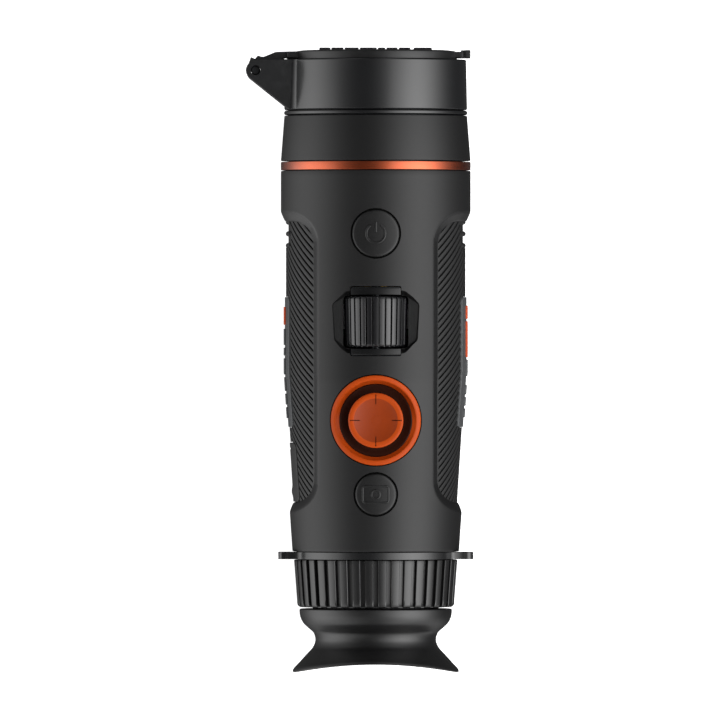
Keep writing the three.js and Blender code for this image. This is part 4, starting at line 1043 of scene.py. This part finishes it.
def bracket_fillet(side, half, low, high):
    """The concave blend where the bracket's flat face runs into the tapered ring."""
    r = 3.0
    rings = []
    for st, ring_r in ((low, 28.88), (high, 28.4)):
        cy = half + r
        cx = -sqrt((ring_r + r) ** 2 - cy ** 2)
        touch = degrees(atan2(-cy, -cx))
        curve = arc_points(cx, cy, r, 270.0, 360.0 + touch, 16)
        curve += [(curve[-1][0] + 0.3, half - 0.5), (cx - 0.01, half - 0.5)]
        rings.append([(x, st, side * h) for x, h in curve])
    return loft("bracket_blend_" + ("up" if side > 0 else "down"), rings, sharp=40)


def lid():
    rear, rim, face, apex = 193.4, 196.2, 196.55, 196.8
    plate = [(NEAR_AXIS, rear), (25.2, rear), (25.35, rear + 0.06), (25.7, rear + 0.42), (25.7, rim - 0.35),
             (25.62, rim - 0.12), (25.4, rim + 0.02), (24.6, rim + 0.2), (23.5, face)]
    for k in range(1, 8):
        t = 1 - k / 8
        plate.append((23.5 * t, mix(apex, face, t * t)))
    plate.append((NEAR_AXIS, apex))
    settle(loft("lens_cap_lid", around(plate, 256)), "lens_cap_lid")
    outline = [(-37.4, 194.75), (-37.0, 194.9), (-36.3, 194.55), (-35.4, 194.5), (-33.6, 195.2),
               (-31.9, 195.95), (-30.4, 196.1), (-24.0, 196.25), (-24.0, 193.6), (-27.4, 193.7),
               (-28.5, 194.25), (-30.6, 193.3), (-33.6, 193.3), (-34.95, 190.6)]
    outline += arc_points(PIN_X, PIN_ST, 3.0, 0, -200, 18)
    outline += [(-40.4, 191.6), (-38.4, 193.4)]
    arm = bevel(prism("lid_arm", outline, -6.0, 6.0), 0.2, 3, 45)
    carve(arm, [peg(PIN_BORE, -PIN_REACH, PIN_REACH, PIN_ST, 48, PIN_X)])
    trim(flatten(arm), "lid", "matte_black")
    latch = (("latch_neck", 24.8, 27.6, 196.1, 5.0), ("latch_root", 26.9, 28.5, 196.6, 4.6),
             ("latch_finger", 28.2, 29.95, 196.65, 5.3))
    for name, left, right, top, half in latch:
        trim(bevel(box(name, (left, 194.1, -half), (right, top, half)), 0.25), "lid", "matte_black")
    ribs = ((-17.8, -14.3), (-14.0, -10.2), (-9.8, -5.4), (-5.0, 0.3), (0.7, 3.0), (3.4, 6.9), (7.3, 10.9),
            (12.0, 17.7))
    for n, (left, right) in enumerate(ribs):
        rib = box(f"lid_rib_{n}", (left, 196.2, -9.0), (right, 197.35, 9.0))
        trim(bevel(rib, 0.2), "lid", "matte_black")
    outline = [(-27.9, 194.1), (-22.0, 193.7), (-22.0, 196.15), (-27.9, 196.15)]
    shoulder = prism("lid_shoulder", round_corners(outline, [0.5, 0, 0, 0.5]), -8.0, 8.0)
    trim(bevel(shoulder, 0.7, 4, 30), "lid", "matte_black")
    hoop("lid_gasket", 21.6, 23.1, [0.4, 0.5, 0, 0])


# ---- eyepiece end
def strap_ring():
    low, high = station("strap_ring")
    ring_r = 25.5
    lug = [p for p in rounded_rectangle(22.0, -8.5, 30.8, 8.5, 3.0) if p[0] > 24.05]
    lug.sort(key=lambda p: p[1])
    outline = []
    for side in (0, 180):
        c, s = cos(radians(side)), sin(radians(side))
        outline += [(x * c - h * s, x * s + h * c) for x, h in lug]
        outline += arc_points(0, 0, ring_r, side + 19.5, side + 160.5, 48)[1:-1]
    plate = prism("strap_ring", outline, low, high, across="st")
    cuts = [loft("cut_bore", around([(20.15, low - 1), (20.15, high + 1)]))]
    for left in (-29.1, 26.7):
        slot = rounded_rectangle(left, -5.6, left + 2.4, 5.6, 0.9)
        cuts.append(prism("cut_strap", slot, low - 1, high + 1, across="st"))
    carve(plate, cuts)
    bevel(plate, 0.35, 3, 50)
    settle(plate, "strap_ring")


def spline(points, steps=6):
    """A smooth curve through the points."""
    out = []
    knots = [Vector(p) for p in [points[0], *points, points[-1]]]
    for p0, p1, p2, p3 in zip(knots, knots[1:], knots[2:], knots[3:]):
        for t in [k / steps for k in range(steps)]:
            q = 0.5 * ((2 * p1) + (p2 - p0) * t + (2 * p0 - 5 * p1 + 4 * p2 - p3) * t * t
                       + (3 * p1 - p0 - 3 * p2 + p3) * t ** 3)
            out.append((q.x, q.y))
    return out + [points[-1]]


def eyecup():
    outer = [(26.35, 0.35), (25.9, 1.3), (24.8, 2.5), (23.6, 3.8), (22.4, 5.1), (21.3, 6.3), (20.1, 7.6),
             (19.4, 8.9), (19.1, 10.1), (19.25, 11.4), (19.85, 12.7), (21.2, 13.9), (22.6, 15.2),
             (23.4, 16.4), (23.9, 17.7), (24.1, 19.0), (24.1, 19.8)]
    inner = [(16.95, 20.1), (16.95, 11.2), (17.1, 10.3), (17.9, 8.9), (19.4, 7.0), (21.4, 4.8), (23.4, 2.4),
             (24.9, 0.6), (25.3, 0.15)]
    profile = spline(outer) + [(23.9, 20.05), (23.5, 20.1)] + inner[:2] + spline(inner[2:], 4)
    profile += [(25.6, -0.02), (25.95, 0.0), (26.25, 0.12)]
    rise, flare = 2.8, 9.0
    rings = []
    for radius, st in profile:
        lift = rise * clamp(1 - st / flare) ** 1.3
        rings.append([
            (radius * sin(a), st + lift * cos(a) ** 2, radius * cos(a)) for a in full_turn(256)
        ])
    settle(loft("eyecup", rings, closed=True, sharp=60), "eyecup")


def eyepiece():
    barrel = [(14.6, 11.4), (16.8, 11.4), (16.8, 20.3), (20.0, 20.3), (20.0, 38.3), (22.8, 38.3),
              (22.8, 46.0), (15.6, 46.0), (15.6, 20.2), (13.2, 20.2), (13.2, 18.4), (14.6, 18.4)]
    turned("eyepiece_barrel", barrel, 0.15, 160, 3)
    low, high = station("eye_lens_retainer")
    turned("eye_lens_retainer", [(13.0, low), (14.5, low), (14.5, high), (13.4, high)], [0.5, 0.1, 0, 0.1],
           160, 4)
    domed("eye_lens", 14.4, 14.4, 18.2, 13.2, 19.2)


# ---- tripod plate
def tripod_parts():
    low, high = station("tripod_plate")
    wide = half_width("tripod_plate")
    bottom, top = (v - AXIS_Z for v in span("tripod_plate", 2))
    bush_st = mid_station("tripod_bush")
    screws = ("plate_screw_front", "plate_screw_rear")
    plate = bevel(prism("tripod_plate", panel(wide, low, high, 3.0), bottom, top), 0.4, 3, 50)
    cuts = [peg(5.0, -OUTSIDE, 0.0, bush_st)]
    for node in screws:
        st = mid_station(node)
        cuts += [peg(2.55, -OUTSIDE, -29.3, st, 48), peg(1.35, -30.0, -20.0, st, 48)]
    for x in [side * (5.6 + 0.55 * n) for side in (-1, 1) for n in range(7)]:
        if abs(x) < wide - 1.2:
            cuts.append(box("cut_line", (x - 0.12, low + 3.0, bottom - 1.0),
                            (x + 0.12, high - 3.0, bottom + 0.2)))
    carve(plate, cuts)
    settle(plate, "tripod_plate")
    thread = [(3.2, -24.6), (3.2, -24.8)]
    st = -24.8
    while st > -30.4:
        thread += [(3.2, st), (3.55, st - 0.4)]
        st -= 0.8
    thread += [(3.2, -30.5), (3.5, -30.9), (4.9, -30.9), (4.9, -23.6), (NEAR_AXIS, -23.6),
               (NEAR_AXIS, -24.6)]
    settle(loft("tripod_bush", upright(thread, 0, bush_st, 64), closed=True), "tripod_bush")
    shape = [(NEAR_AXIS, -30.9), (2.1, -30.9), (2.4, -30.6), (2.4, -29.4), (1.25, -29.4), (1.25, -24.6),
             (NEAR_AXIS, -24.6)]
    for node in screws:
        st = mid_station(node)
        screw = loft(node, upright(shape, 0, st, 48))
        carve(screw, [peg(0.95, -32.0, -29.9, st, 6)])
        settle(screw, node)


# ---- the object
housing()
for one_side in (-1, 1):
    grip(one_side)
    transverse_ribs(one_side)
side_plates()
usb_cover()
usb_socket()
push_buttons()
joystick()
focus_wheel()
saddles()
diopter_ring()
objective_rings()
cap_ring()
lid()
strap_ring()
eyecup()
eyepiece()
tripod_parts()

# Nodes that keep their CAD shape get their finish here.
for node_name, node_object in frame["nodes"].items():
    node_object.data.materials.clear()
    node_object.data.materials.append(LOOK[SLOT_OF[node_name]])


# ---- floor, light and camera
def floor():
    """A plain white floor just below the object. It gives off a little light, so no shadow greys it,
    and it stays out of the object's reflections."""
    bm = bmesh.new()
    reach = 3.0
    level = CAD_BOX[0][2] - 0.05 * MM
    corners = ((-reach, -reach), (reach, -reach), (reach, reach), (-reach, reach))
    bm.faces.new([bm.verts.new((x, y, level)) for x, y in corners])
    obj = mesh_object("floor", bm)
    material, tree, shader = nodes_of("floor_white")
    cloud = noise(tree, add_node(tree, "TexCoord"), 8.0)
    feed(shader, {
        "Base Color": ramp(tree, cloud, 0.80, 0.84),
        "Roughness": 0.9,
        "Specular IOR Level": 0.1,
        "Emission Color": (1.0, 1.0, 1.0, 1.0),
        "Emission Strength": 0.93,
    })
    obj.data.materials.append(material)
    obj.visible_glossy = False
    obj.visible_diffuse = False
    obj.visible_shadow = False


def strip_light(name, angle, power):
    """A soft box over the object, turned about the optical axis by an angle from straight up."""
    light = bpy.data.lights.new(name, "AREA")
    light.shape = "RECTANGLE"
    light.size = 0.7
    light.size_y = 1.4
    light.energy = power
    obj = add_object(name, light)
    a = radians(angle)
    distance = 0.9
    target = Vector((0.0, 0.0, AXIS_Z * MM))
    obj.location = target + Vector((sin(a) * distance, -0.25, cos(a) * distance))
    obj.rotation_euler = (target - obj.location).normalized().to_track_quat("-Z", "Y").to_euler()


LOBES = ((54.0, 31.0, 4.1), (-85.0, 34.0, 2.3))
AHEAD = 0.3
ASTERN = 0.35
GLOW = 1.3
AMBIENT = 0.06


def world_light():
    """LOBES are bands of light along the object: degrees from straight up, width, strength. AHEAD and
    ASTERN weaken them past its ends. GLOW lights the rear end from both sides."""
    world = bpy.data.worlds.new("studio")
    bpy.context.scene.world = world
    world.use_nodes = True
    tree = world.node_tree
    coords = add_node(tree, "TexCoord")
    toward = add_node(tree, "SeparateXYZ", {"Vector": coords.outputs["Generated"]}).outputs

    def calc(operation, first, second=None):
        return math_node(tree, operation, first, second)

    angle = calc("ARCTAN2", toward["X"], toward["Z"])
    bands = []
    for centre, width, strength in LOBES:
        offset = calc("DIVIDE", calc("SUBTRACT", angle, radians(centre)), radians(width))
        squared = calc("MULTIPLY", offset, offset)
        bands.append(calc("MULTIPLY", calc("EXPONENT", calc("MULTIPLY", squared, -1.0)), strength))
    ahead = ramp(tree, toward["Y"], 1.0, AHEAD, 0.1, 0.6)
    astern = ramp(tree, toward["Y"], ASTERN, 1.0, -0.7, -0.35)
    behind = ramp(tree, toward["Y"], GLOW, 0.0, -0.6, -0.3)
    lobes = calc("MULTIPLY", calc("ADD", *bands), calc("MULTIPLY", ahead, astern))
    glow = calc("MULTIPLY", calc("ABSOLUTE", toward["X"]), behind)
    level = calc("ADD", calc("ADD", lobes, glow), AMBIENT)
    feed(tree.nodes["Background"], {"Color": level, "Strength": 1.0})


def camera():
    """Straight above the button side with a long lens, the objective towards the top of the frame."""
    data = bpy.data.cameras.new("camera")
    obj = add_object("camera", data)
    distance, view_width = 5.0, 0.2277
    data.sensor_width = 36.0
    data.lens = data.sensor_width * distance / view_width
    data.clip_end = 20.0
    obj.location = (-0.00497, -0.0033, AXIS_Z * MM + distance)
    bpy.context.scene.camera = obj


floor()
world_light()
strip_light("key_right", 50.0, 2.0)
strip_light("key_left", -84.0, 1.2)
camera()
bpy.context.scene.view_settings.view_transform = "Standard"
bpy.context.scene.cycles.use_denoising = True
